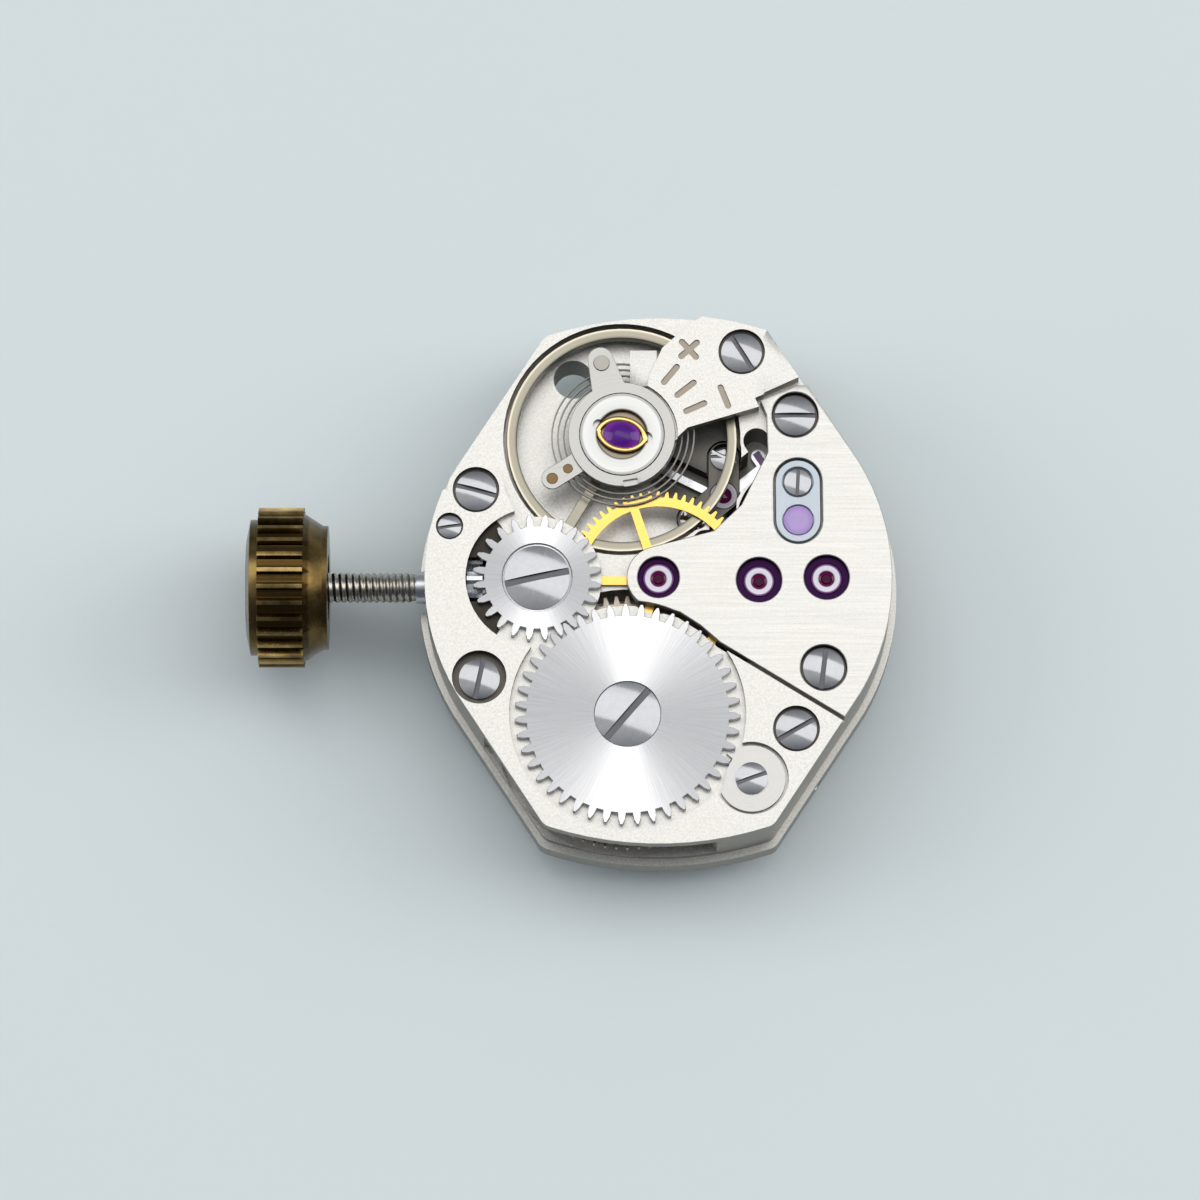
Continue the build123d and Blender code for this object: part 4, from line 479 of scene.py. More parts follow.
class Finish:
    """One material: its Principled shader, its place on the piece and helpers to feed it."""

    def __init__(self, name, metallic, roughness):
        self.material = bpy.data.materials.new(name)
        self.material.use_nodes = True
        self.tree = self.material.node_tree
        self.shader = self.tree.nodes["Principled BSDF"]
        self.feed("Metallic", metallic)
        self.feed("Roughness", roughness)
        self.place = put(self.tree, "ShaderNodeTexCoord").outputs["Object"]

    def facing(self):
        """How much a face looks up or down: 1 on a flat top, 0 on an upright wall."""
        turned = put(self.tree, "ShaderNodeNewGeometry").outputs["True Normal"]
        level = put(self.tree, "ShaderNodeSeparateXYZ", in_0=turned).outputs[2]
        return maths(self.tree, "ABSOLUTE", level)

    def feed(self, socket, value):
        """Links or sets an input of the shader."""
        connect(self.tree, value, self.shader.inputs[socket])

    def spread(self, value, low, high):
        """A 0 to 1 value as a value from low to high."""
        return put(self.tree, "ShaderNodeMapRange", in_Value=value, in_To_Min=low, in_To_Max=high).outputs[0]

    def shade(self, colour, value, low, high):
        """The colour, multiplied by a grey from low to high."""
        return blend_colour(self.tree, 1.0, colour, self.spread(value, low, high), "MULTIPLY")

    def relief(self, height, depth_mm):
        """Bumps the surface by a 0 to 1 height, over a depth in millimetres."""
        made = put(self.tree, "ShaderNodeBump", in_Height=height, in_Distance=depth_mm * MM)
        self.feed("Normal", made.outputs[0])

    def grain(self, grain_per_mm, cloud_per_mm):
        """The shade and the height of a fine grain."""
        made = group(self.tree, "fine_grain", in_Place=self.place, in_Grain_per_mm=grain_per_mm,
                     in_Cloud_per_mm=cloud_per_mm)
        return made.outputs["Shade"], made.outputs["Height"]

    def polar(self, at):
        """Distance in millimetres, angle and tangent round an upright axis."""
        made = group(self.tree, "polar_place", in_Place=self.place,
                     in_Axis_at=(at[0] * MM, at[1] * MM, 0.0))
        return made.outputs["Radius mm"], made.outputs["Angle"], made.outputs["Tangent"]

    def rings(self, at, per_mm):
        """Lathe rings round an upright axis, and the distance from it in millimetres."""
        radius, angle, _ = self.polar(at)
        made = group(self.tree, "lathe_rings", in_Radius_mm=radius, in_Angle=angle, in_Rings_per_mm=per_mm)
        return made.outputs[0], radius

    def nearest(self, places):
        """Distance in millimetres to the nearest of several upright axes."""
        least = 1000.0
        for at in places:
            least = group(self.tree, "nearest_axis", in_Place=self.place,
                          in_Axis_at=(at[0] * MM, at[1] * MM, 0.0), in_So_far_mm=least).outputs[0]
        return least


def satin_nickel(name, streaks=0.0):
    """Matt frosted nickel: an even grain, a faint warm cloud, and painted shade on upright walls, in the
    sinks and under the escapement.

    Streaks says how much of the grain gives way to brushed lines along X.
    """
    finish = Finish(name, 1.0, 0.42)
    tree = finish.tree
    pale = colours().nickel
    shade, height = finish.grain(13.0, 0.35)
    drawn = put(tree, "ShaderNodeMapping", in_Vector=finish.place, in_Scale=(420.0, 16000.0, 420.0))
    lines = noise(tree, drawn.outputs[0], detail=3.0)
    height = put(tree, "ShaderNodeMix", in_0=streaks, in_2=height, in_3=lines).outputs[0]
    tone = blend_colour(tree, shade, pale, tinted(pale, 1.02, 0.985, 0.94))
    # Painted shade: upright walls take a darker, warmer nickel than the tops
    flat = rising(tree, finish.facing(), 0.15, 0.6)
    tone = blend_colour(tree, flat, tinted(pale, 0.50, 0.47, 0.42), tone)
    tone = finish.shade(tone, height, 0.50, 1.50)
    # Painted shade: the sinks and recesses are darkened between their levels
    sunk = between_levels(tree, *SHADED_SINK_LEVELS)
    for places, reach, dark in SHADED_SINKS:
        near = maths(tree, "LESS_THAN", finish.nearest(places), reach)
        tone = blend_colour(tree, maths(tree, "MULTIPLY", near, sunk), tone, dark)
    # Painted shadow: a dark patch on the plate under the escapement, below the shadow's top level
    shadow = rising(tree, finish.nearest((SHADOW_PLACE,)), *SHADOW_REACH, 0.85, "SMOOTHSTEP")
    shadow_mask = maths(tree, "MULTIPLY", shadow, between_levels(tree, -ABOVE_ALL, SHADOW_TOP))
    finish.feed("Base Color", blend_colour(tree, shadow_mask, tone, (0.040, 0.034, 0.026)))
    finish.feed("Roughness", finish.spread(height, 0.30, 0.52))
    finish.relief(height, 0.0022)
    return finish.material


def sunray_steel(name, at):
    """Steel brushed outwards from its arbor, so that light fans over it."""
    finish = Finish(name, 1.0, 0.30)
    base = colours().brushed
    radius, angle, tangent = finish.polar(at)
    tint, lines, hairs = [
        group(finish.tree, "sunray_lines", in_Angle=angle, in_Radius_mm=radius, in_Lines=count).outputs[0]
        for count in (31.0, 95.0, 330.0)
    ]
    tone = blend_colour(finish.tree, tint, tinted(base, 1.02, 1.00, 0.98), tinted(base, 0.97, 0.99, 1.03))
    brushing = maths(finish.tree, "MULTIPLY_ADD", hairs, 0.45, maths(finish.tree, "MULTIPLY", lines, 0.55))
    finish.feed("Base Color", finish.shade(tone, brushing, 0.20, 1.86))
    finish.feed("Roughness", finish.spread(brushing, 0.30, 0.62))
    finish.feed("Anisotropic", 0.92)
    finish.feed("Tangent", tangent)
    finish.relief(lines, 0.0016)
    return finish.material


def lathe_steel(name, at, colour, roughness=0.28):
    """Steel turned on a lathe: fine rings round its arbor."""
    finish = Finish(name, 1.0, roughness)
    rings, _ = finish.rings(at, 16.0)
    shade, _ = finish.grain(9.0, 0.8)
    tone = finish.shade(colour, rings, 0.78, 1.18)
    finish.feed("Base Color", finish.shade(tone, shade, 0.92, 1.06))
    finish.feed("Roughness", finish.spread(rings, roughness - 0.08, roughness + 0.10))
    finish.relief(rings, 0.0014)
    return finish.material


def ringed_metal(name, outer, stops, rings_per_mm, depth):
    """Metal turned round the balance's axis, coloured by the share of an outer radius."""
    finish = Finish(name, 1.0, 0.30)
    rings, radius = finish.rings(BALANCE, rings_per_mm)
    tone = ramp(finish.tree, maths(finish.tree, "DIVIDE", radius, outer), stops)
    finish.feed("Base Color", finish.shade(tone, rings, 0.8, 1.2))
    finish.feed("Roughness", finish.spread(rings, 0.24, 0.40))
    finish.relief(rings, depth)
    return finish.material


def balance_brass():
    """Turned balance brass, with a painted highlight along the rim's outer edge and a painted shade line
    along its inner edge.
    """
    low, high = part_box("balance_wheel")
    # The bright stop at the outer edge is a painted highlight; the dark stops near the inner edge are
    # painted shade
    stops = [(place, tinted(colours().balance, share)) for place, share in (
        (0.0, 1.0), (0.885, 1.0), (0.895, 0.35), (0.92, 0.50), (0.935, 1.0), (0.975, 1.05), (0.985, 1.9),
    )]
    return ringed_metal("turned_balance", (high.x - low.x) / MM / 2, stops, 14.0, 0.0010)


def setting_steel():
    """The shock setting: a bright turned ring round a sink browned and darkened as painted shade, with a
    painted shade line between them and another at the ring's outer edge.
    """
    # Painted shade: the brown sink, the dark line at its edge and the darker stop at the ring's outer edge
    return ringed_metal("turned_setting", SETTING_RADIUS, [
        (0.00, (0.20, 0.16, 0.11)), (0.53, (0.24, 0.20, 0.15)), (0.58, (0.05, 0.04, 0.03)),
        (0.62, (0.46, 0.46, 0.45)), (0.88, (0.52, 0.52, 0.51)), (0.92, (0.30, 0.30, 0.29)),
    ], 22.0, 0.0014)


def worked_metal(name, colour, roughness, grain=8.0, depth=0.0008):
    """Plain worked metal with a fine uneven polish."""
    finish = Finish(name, 1.0, roughness)
    shade, height = finish.grain(grain, 0.9)
    scratches = group(finish.tree, "hairlines", in_Place=finish.place, in_Amount=0.5)
    finish.feed("Base Color", finish.shade(colour, shade, 0.80, 1.16))
    rough = finish.spread(height, roughness - 0.06, roughness + 0.08)
    scratched = maths(finish.tree, "MULTIPLY", scratches.outputs[0], 0.12)
    finish.feed("Roughness", maths(finish.tree, "ADD", rough, scratched))
    finish.relief(height, depth)
    return finish.material


def jewelled_pinion():
    """Polished steel, with its upper pivots painted dark red as shade and reflection of the jewels round
    them.
    """
    material = worked_metal("jewelled_pinion", colours().steel, 0.16)
    # Painted shade and reflection: the upper pivots turn dark red
    retouch(material, between_levels(material.node_tree, PIVOT_LEVEL, ABOVE_ALL), (0.03, 0.008, 0.02))
    return material


def train_ruby():
    """Ruby jewels: a painted pale reflection ring round a deep red sink, magenta at the rim."""
    finish = Finish("train_ruby", 0.0, 0.06)
    near = finish.nearest((CENTRE, THIRD, FOURTH, PALLET, ESCAPE))
    dark = tinted(colours().ruby, 0.18)
    # The pale stops from 0.57 to 0.86 are a painted reflection of the light on the jewel's flat top
    tone = ramp(finish.tree, maths(finish.tree, "DIVIDE", near, JEWEL_RADIUS), [
        (0.00, dark), (0.40, tinted(colours().ruby, 0.45)), (0.52, dark), (0.57, (0.80, 0.76, 0.86)),
        (0.86, (0.84, 0.80, 0.90)), (0.91, (0.22, 0.03, 0.26)), (1.00, (0.06, 0.006, 0.09)),
    ])
    finish.feed("Base Color", tone)
    finish.feed("Specular IOR Level", 0.35)
    sink = maths(finish.tree, "SUBTRACT", 1.0, maths(finish.tree, "DIVIDE", near, 0.30), clamp=True)
    finish.relief(sink, 0.05)
    return finish.material


def gem(name, deep, pale, places, radius, rise=0.0):
    """A polished stone, deeper in the middle and paler to its rim, that may look domed."""
    finish = Finish(name, 0.0, 0.05)
    finish.feed("Specular IOR Level", 0.30)
    share = maths(finish.tree, "DIVIDE", finish.nearest(places), radius)
    shade, _ = finish.grain(3.0, 1.4)
    dome = maths(finish.tree, "SUBTRACT", 1.0, maths(finish.tree, "MULTIPLY", share, share), clamp=True)
    finish.relief(dome, rise)
    tone = ramp(finish.tree, share, [(0.0, deep), (0.55, deep), (0.92, pale), (1.0, pale)])
    finish.feed("Base Color", finish.shade(tone, shade, 0.85, 1.15))
    return finish.material


def crown_brass():
    """Aged brass: bright worn ridges over dark tarnish in the flutes."""
    finish = Finish("crown_brass", 1.0, 0.30)
    tree = finish.tree
    lifted = vectors(tree, "SUBTRACT", finish.place, (0.0, 0.0, STEM_LEVEL * MM))
    radius = vectors(tree, "LENGTH", vectors(tree, "MULTIPLY", lifted, (0.0, 1.0, 1.0)))
    worn = rising(tree, radius, CROWN_FLUTES[0] * MM, CROWN_FLUTES[1] * MM)
    cap = rising(tree, radius, CROWN_CAP[0] * MM, CROWN_CAP[1] * MM)
    mask = maths(tree, "MAXIMUM", worn, maths(tree, "MULTIPLY", cap, 0.35))
    blotch = noise(tree, finish.place, 900.0, 4.0)
    worn_off = finish.spread(blotch, -0.55, 1.30)
    mask = maths(tree, "MULTIPLY", mask, maths(tree, "MAXIMUM", worn_off, 0.12), clamp=True)
    bright = colours().crown
    dark = tinted(bright, 0.07)
    under = blend_colour(tree, blotch, dark, tinted(dark, 2.0, 1.5, 1.0))
    shade, height = finish.grain(5.0, 0.8)
    finish.feed("Base Color", finish.shade(blend_colour(tree, mask, under, bright), shade, 0.6, 1.25))
    finish.feed("Roughness", finish.spread(height, 0.14, 0.36))
    finish.relief(height, 0.004)
    return finish.material


def floor_paper():
    """Smooth pale card, with the faintest unevenness."""
    finish = Finish("floor_card", 0.0, 0.55)
    shade, _ = finish.grain(0.02, 0.008)
    finish.feed("Base Color", finish.shade(colours().floor, shade, 0.985, 1.015))
    finish.feed("Specular IOR Level", 0.25)
    return finish.material


# Meshes worked out with numpy


def placed(name, data):
    """A new object in the scene that holds the data."""
    made = bpy.data.objects.new(name, data)
    bpy.context.scene.collection.objects.link(made)
    return made


def mesh_piece(name, points, faces, smooth=True):
    """An object from an array of points in metres and a list of faces."""
    data = bpy.data.meshes.new(name)
    data.from_pydata(points.tolist(), [], [list(map(int, face)) for face in faces])
    data.update()
    if smooth:
        data.shade_smooth()
    return placed(name, data)


def tube_faces(rows, columns, closed):
    """Quads of a grid whose columns wrap round; the rows wrap too where the path is closed."""
    rings = rows if closed else rows - 1
    r, c = np.meshgrid(np.arange(rings), np.arange(columns), indexing="ij")
    down = (r + 1) % rows
    right = (c + 1) % columns
    return np.stack((r * columns + c, r * columns + right, down * columns + right, down * columns + c),
                    axis=-1).reshape(-1, 4)


def capped_tube(grid, start, end):
    """A grid of rings, closed into a solid by a fan of triangles round a point at either end."""
    rows, columns = grid.shape[:2]
    points = np.concatenate((grid.reshape(-1, 3), [start, end]))
    first, last, base = len(points) - 2, len(points) - 1, (rows - 1) * columns
    wrap = [(c, (c + 1) % columns) for c in range(columns)]
    caps = [(first, a, b) for a, b in wrap] + [(last, base + b, base + a) for a, b in wrap]
    return points * MM, [tuple(q) for q in tube_faces(rows, columns, False)[:, ::-1]] + caps


def thread_surface(first_x, last_x, root, depth, pitch):
    """A screw thread along -X as a grid over length and turn.

    The radius at station x and turn t is root + depth * ridge(x / pitch - t / one turn), where
    ridge rises from 0 to 1 and falls again over each pitch, with a slightly rounded crest. The
    ridge fades out over one pitch at either end.
    """
    per_pitch, columns = 10, 40
    rows = int(abs(last_x - first_x) / pitch * per_pitch) + 1
    along = np.linspace(first_x, last_x, rows)[:, None]
    turn = np.linspace(0, 2 * np.pi, columns, endpoint=False)[None, :]
    phase = np.mod(along / pitch - turn / (2 * np.pi), 1.0)
    ridge = np.power(1 - np.abs(2 * phase - 1), 0.8)
    fade = np.clip(np.minimum(along - first_x, last_x - along) / pitch, 0, 1)
    radius = root + depth * ridge * fade
    x = np.broadcast_to(along, radius.shape)
    grid = np.stack((x, radius * np.cos(turn), STEM_LEVEL + radius * np.sin(turn)), axis=-1)
    return capped_tube(grid, (first_x, 0, STEM_LEVEL), (last_x, 0, STEM_LEVEL))


def lyre_path(centre, level, turn_deg, reach, rise):
    """A closed lyre outline: x = reach * |cos t|^0.9 and y = rise * |sin t|^1.35, with their signs.

    It is then turned. The powers draw its ends to points and leave its flanks almost straight.
    """
    t = np.linspace(0, 2 * np.pi, 96, endpoint=False)
    x = reach * np.sign(np.cos(t)) * np.power(np.abs(np.cos(t)), 0.9)
    y = rise * np.sign(np.sin(t)) * np.power(np.abs(np.sin(t)), 1.35)
    cos, sin = heading(turn_deg)
    flat = np.stack((centre[0] + x * cos - y * sin, centre[1] + x * sin + y * cos), axis=-1)
    return np.concatenate((flat, np.full((len(t), 1), level)), axis=1)


def wire_round(path, radius, wide, sides=10):
    """A closed wire: at each point of the path, an ellipse square to it, `wide` times as broad as high."""
    ahead = np.roll(path, -1, axis=0) - np.roll(path, 1, axis=0)
    ahead /= np.linalg.norm(ahead, axis=1, keepdims=True)
    up = np.array([0.0, 0.0, 1.0])
    side = np.cross(ahead, up)
    side /= np.linalg.norm(side, axis=1, keepdims=True)
    turn = np.linspace(0, 2 * np.pi, sides, endpoint=False)
    grid = (path[:, None, :] + wide * radius * np.cos(turn)[None, :, None] * side[:, None, :]
            + radius * np.sin(turn)[None, :, None] * up[None, None, :])
    return grid.reshape(-1, 3) * MM, tube_faces(len(path), sides, True)


def heading(degrees):
    """The unit direction that lies so many degrees round from +X."""
    a = math.radians(degrees)
    return np.array((math.cos(a), math.sin(a)))


def stadium_prism(start, end, width, low, high, steps=8):
    """A round-ended bar between two points: half circles at both ends, joined by straight sides."""
    a, b = np.array(start, float), np.array(end, float)
    line = math.atan2(*(b - a)[::-1])
    half = width / 2
    first = np.linspace(line + np.pi / 2, line + 3 * np.pi / 2, steps)
    last = np.linspace(line - np.pi / 2, line + np.pi / 2, steps)
    ring = np.concatenate((a + half * np.stack((np.cos(first), np.sin(first)), -1),
                           b + half * np.stack((np.cos(last), np.sin(last)), -1)))
    n = len(ring)
    points = np.concatenate([np.column_stack((ring, np.full(n, z))) for z in (low, high)])
    sides = [(i, (i + 1) % n, (i + 1) % n + n, i + n) for i in range(n)]
    return points * MM, sides + [tuple(reversed(range(n))), tuple(range(n, 2 * n))]


def bell(at, top, foot, radius, fall):
    """The solid a screw is trimmed to: z = top - fall * (r / radius)^2 at distance r from its axis."""
    columns, reach = 48, radius * 1.06
    r = np.linspace(0, reach, 10)[1:]
    r, z = np.append(r, reach), np.append(top - fall * (r / radius) ** 2, foot)
    turn = np.linspace(0, 2 * np.pi, columns, endpoint=False)
    grid = np.stack((at[0] + r[:, None] * np.cos(turn), at[1] + r[:, None] * np.sin(turn),
                     np.broadcast_to(z[:, None], (len(r), columns))), axis=-1)
    return capped_tube(grid, (*at, top), (*at, foot))


def joined(parts):
    """Several (points, faces) as one."""
    points, faces = [], []
    count = 0
    for some, sides in parts:
        points.append(some)
        faces += [tuple(int(i) + count for i in side) for side in sides]
        count += len(some)
    return np.concatenate(points), faces


# Cutting copies of the frame's nodes


def evaluated_copy(name, source):
    """A new object that holds another's mesh with its modifiers applied."""
    graph = bpy.context.evaluated_depsgraph_get()
    return placed(name, bpy.data.meshes.new_from_object(source.evaluated_get(graph)))


def weld(piece):
    """Merges a mesh's loose corners."""
    piece.modifiers.new("weld", "WELD").merge_threshold = 2e-7


def trimmed(work, name, parts, operation):
    """Adds a boolean of the parts to an object, and gives back the object that it cuts with."""
    tool = mesh_piece(name, *joined(parts), smooth=False)
    cut = work.modifiers.new(name, "BOOLEAN")
    cut.operation = operation
    cut.solver = "EXACT"
    cut.object = tool
    return tool


def carved(name, source, cuts):
    """A copy of an object, cut by each (name, parts, operation) in turn."""
    work = evaluated_copy(name + "_work", source)
    weld(work)
    tools = [trimmed(work, *cut) for cut in cuts]
    made = evaluated_copy(name, work)
    for spare in [work] + tools:
        bpy.data.objects.remove(spare)
    return made


# Dressing the frame's own nodes


def soften(piece, width):
    """Merges a node's loose corners, breaks its sharp edges and shades it smoothly between them."""
    for face in piece.data.polygons:
        face.use_smooth = True
    weld(piece)
    if width > 0:
        bevel = piece.modifiers.new("bevel", "BEVEL")
        bevel.width = width * MM
        bevel.segments = 1
        bevel.limit_method = "ANGLE"
        bevel.angle_limit = math.radians(40)
    split = piece.modifiers.new("edges", "EDGE_SPLIT")
    split.split_angle = math.radians(32)
    piece.modifiers.new("flat_faces", "WEIGHTED_NORMAL")


def wear(piece, *materials):
    """Gives a piece these materials and no others."""
    piece.data.materials.clear()
    for material in materials:
        piece.data.materials.append(material)


def dress(material, *nodes, bevel=0.0):
    """Gives nodes a material and softens their edges."""
    for name in nodes:
        wear(frame["nodes"][name], material)
        soften(frame["nodes"][name], bevel)


class MOVEMENT_OT_stage(bpy.types.Operator):
    """Lay the pale floor, hang the soft lamps and set the camera above the bridges"""

    bl_idname = "movement.stage"
    bl_label = "Stage and camera"

    def execute(self, context):
        under_all = 2e-5
        low = CAD_BOX[0].z - under_all
        half = 0.45
        corners = np.array([(-half, -half, low), (half, -half, low), (half, half, low), (-half, half, low)])
        floor = mesh_piece("floor", corners, [(0, 1, 2, 3)], smooth=False)
        wear(floor, floor_paper())
        build_world()
        build_lamps()
        build_camera()
        context.scene.view_settings.view_transform = "Standard"
        return {"FINISHED"}


def build_world():
    """A pale tent of light: a bright band overhead from left to right, dimmer behind and in front."""
    world = bpy.data.worlds.new("tent")
    world.use_nodes = True
    bpy.context.scene.world = world
    tree = world.node_tree
    sky = tree.nodes["Background"]
    way = put(tree, "ShaderNodeTexCoord").outputs["Generated"]
    parts = put(tree, "ShaderNodeSeparateXYZ", in_0=way)
    tilt = maths(tree, "ARCTAN2", parts.outputs[1], maths(tree, "MAXIMUM", parts.outputs[2], 0.02))
    mirrored = math.radians(90 - CAMERA_ELEVATION)
    away = maths(tree, "ABSOLUTE", maths(tree, "SUBTRACT", tilt, mirrored))
    tone = ramp(tree, maths(tree, "DIVIDE", away, math.pi / 2), [
        (0.00, (1.00, 1.00, 1.00)), (0.14, (0.96, 0.97, 0.98)), (0.32, (0.38, 0.40, 0.43)),
        (0.60, (0.36, 0.39, 0.42)), (1.00, (0.44, 0.46, 0.48)),
    ])
    front = rising(tree, tilt, math.radians(-14), math.radians(-34), kind="SMOOTHSTEP")
    tone = blend_colour(tree, front, tone, (0.14, 0.15, 0.18))
    seen = put(tree, "ShaderNodeLightPath").outputs["Is Camera Ray"]
    tree.links.new(blend_colour(tree, seen, tone, (0.675, 0.75, 0.755)), sky.inputs["Color"])


def aimed(name, data, place, way):
    """A lamp or a camera at a place, that looks along a direction."""
    made = placed(name, data)
    made.location = place
    made.rotation_mode = "QUATERNION"
    made.rotation_quaternion = way.to_track_quat("-Z", "Y")
    return made


def build_lamps():
    """A long strip lamp overhead, from left to right, and a soft square lamp to each side."""
    for name, place, size, depth, power, tint in (
        ("strip_lamp", (0.03, 0.085, 0.33), 0.50, 0.15, 0.30, (1.0, 0.99, 0.97)),
        ("left_lamp", (-0.30, 0.05, 0.18), 0.20, 0.20, 0.22, (0.97, 0.98, 1.0)),
        ("right_lamp", (0.30, 0.06, 0.20), 0.20, 0.20, 0.26, (1.0, 0.99, 0.97)),
    ):
        light = bpy.data.lights.new(name, "AREA")
        light.shape = "RECTANGLE"
        light.size = size
        light.size_y = depth
        light.energy = power
        light.color = tint
        aimed(name, light, place, -Vector(place))


def build_camera():
    """A long lens above the bridges, tilted and scaled as the constants say."""
    elevation = math.radians(CAMERA_ELEVATION)
    back = Vector((0, -math.cos(elevation), math.sin(elevation)))
    lens = bpy.data.cameras.new("camera")
    lens.sensor_width = 36.0
    lens.lens = lens.sensor_width * CAMERA_REACH / (PICTURE_PIXELS / PIXELS_PER_MM * MM)
    lens.clip_start = 0.01
    lens.clip_end = 10.0
    lens.dof.use_dof = False
    target = Vector(CAMERA_TARGET) * MM
    bpy.context.scene.camera = aimed("camera", lens, target + back * CAMERA_REACH, -back)


class MOVEMENT_OT_plates(bpy.types.Operator):
    """Finish the plate, the bridges and the pallet cock in matt nickel"""

    bl_idname = "movement.plates"
    bl_label = "Plate and bridges"

    def execute(self, context):
        bevel = sizes().plate_bevel
        dress(satin_nickel("satin_nickel"), "mainplate", "barrel_bridge", "pallet_cock", bevel=bevel)
        dress(satin_nickel("brushed_nickel", streaks=0.55), "train_bridge", bevel=bevel)
        return {"FINISHED"}


class MOVEMENT_OT_cock(bpy.types.Operator):
    """Cut the fast and slow marks and the index lines into the balance cock"""

    bl_idname = "movement.cock"
    bl_label = "Balance cock with its marks"

    def execute(self, context):
        cad = frame["nodes"]["balance_cock"]
        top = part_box("balance_cock")[1].z / MM
        low, width = top - sizes().mark_depth, sizes().mark_width
        cock = carved("balance_cock_engraved", cad, [
            ("mark", [stadium_prism(start, end, width, low, top + OVERCUT)], "DIFFERENCE")
            for start, end in mark_strokes()
        ])
        if len(cock.data.polygons) < len(cad.data.polygons) / 2:
            raise RuntimeError("the marks could not be cut into the balance cock")
        wear(cock, marked_nickel(top))
        soften(cock, sizes().plate_bevel)
        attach(cock, "movement")
        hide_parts("balance_cock")
        return {"FINISHED"}


def mark_strokes():
    """The plus as two crossed strokes, then the index lines, each from its start to its end."""
    arms = [PLUS_ARM * heading(turn) for turn in (PLUS_TURN, PLUS_TURN + 90)]
    return [(PLUS_AT - arm, PLUS_AT + arm) for arm in arms] + list(INDEX_LINES)


def marked_nickel(top):
    """The matt nickel, with a brown colour laid on what lies just under the cock's top face."""
    material = bpy.data.materials["satin_nickel"].copy()
    material.name = "satin_nickel_marked"
    depth = sizes().mark_depth
    under = between_levels(material.node_tree, top - depth * 1.5, top - depth / 3)
    retouch(material, maths(material.node_tree, "MULTIPLY", under, 0.75), (0.19, 0.145, 0.095))
    return material


def in_slots(piece, screws, tops, radius, fall, width, depth):
    """1 for each face that lies in a screw's slot, below its dome, and 0 for the others."""
    middles = np.zeros(3 * len(piece.data.polygons))
    piece.data.polygons.foreach_get("center", middles)
    middles = middles.reshape(-1, 3) / MM
    inside = np.zeros(len(middles), int)
    for (x, y, turn), top in zip(screws, tops):
        cos, sin = heading(turn)
        off = middles[:, :2] - (x, y)
        across = np.abs(off[:, 1] * cos - off[:, 0] * sin)
        far = np.hypot(*off.T)
        lower = top - fall * (far / radius) ** 2 - 2 * SLACK
        inside[(across < width / 2 + SLACK) & (far < radius) & (middles[:, 2] < lower)
               & (middles[:, 2] > top - depth - 5 * SLACK)] = 1
    return inside


def domed_screws(node, materials):
    """A node's screws with domed heads and deeper slots; its slots take the second material."""
    radius, fall, width, depth, screws = SCREWS[node]
    fall *= sizes().head_dome
    cad = frame["nodes"][node]
    spots = np.array([v.co for v in cad.data.vertices]) / MM
    bells, slots, tops = [], [], []
    for x, y, turn in screws:
        levels = spots[np.hypot(spots[:, 0] - x, spots[:, 1] - y) < radius + 10 * SLACK, 2]
        top = levels.max()
        tops.append(top)
        bells.append(bell((x, y), top, levels.min() - OVERCUT / 2, radius, fall))
        ahead = 1.2 * radius * heading(turn)
        slots.append(stadium_prism((x, y) - ahead, (x, y) + ahead, width, top - depth, top + OVERCUT))
    if node == "small_screws":
        bells += [bell(at, *UNDER_BLOCK, 0.0) for at in UNDER_SCREWS]
    piece = carved(node + "_domed", cad, [("dome", bells, "INTERSECT"), ("slot", slots, "DIFFERENCE")])
    if len(piece.data.polygons) < 50 * len(screws):
        raise RuntimeError("the heads of " + node + " could not be domed")
    wear(piece, *materials)
    inside = in_slots(piece, screws, tops, radius, fall, width, depth)
    piece.data.polygons.foreach_set("material_index", inside)
    soften(piece, sizes().wheel_bevel)
    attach(piece, cad["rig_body"])
    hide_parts(node)


class MOVEMENT_OT_screws(bpy.types.Operator):
    """Polish the screws, with domed heads and slots painted dark as shade"""

    bl_idname = "movement.screws"
    bl_label = "Screws"

    def execute(self, context):
        polished = worked_metal("polished_screw", colours().screw, 0.09, 6.0, 0.0004)
        # Painted shade: the slots take a dark steel
        slot = worked_metal("slot_shade_steel", (0.10, 0.10, 0.11), 0.34)
        for node in SCREWS:
            domed_screws(node, (polished, slot))
        return {"FINISHED"}


class MOVEMENT_OT_winding(bpy.types.Operator):
    """Finish the winding wheels with a sunray, and the click and winding pinions in worked steel"""

    bl_idname = "movement.winding"
    bl_label = "Winding work"

    def execute(self, context):
        bevel = sizes().wheel_bevel
        dress(sunray_steel("sunray_ratchet", BARREL), "ratchet_wheel", bevel=bevel)
        dress(sunray_steel("sunray_crown_wheel", CROWN_WHEEL), "crown_wheel", bevel=bevel)
        dress(lathe_steel("turned_core", CROWN_WHEEL, colours().brushed), "crown_wheel_core")
        dress(lathe_steel("turned_click", CLICK, (0.48, 0.475, 0.46), 0.34), "click", bevel=bevel)
        worked = worked_metal("worked_steel", colours().steel, 0.26)
        dress(worked, "winding_pinion", "clutch_wheel", "barrel_arbor", "setting_lever", "yoke",
              "setting_lever_jumper", "setting_wheel", "minute_wheel", "stem")
        dress(worked_metal("spring_steel", (0.34, 0.36, 0.42), 0.20), "click_spring", "yoke_spring",
              "mainspring")
        return {"FINISHED"}


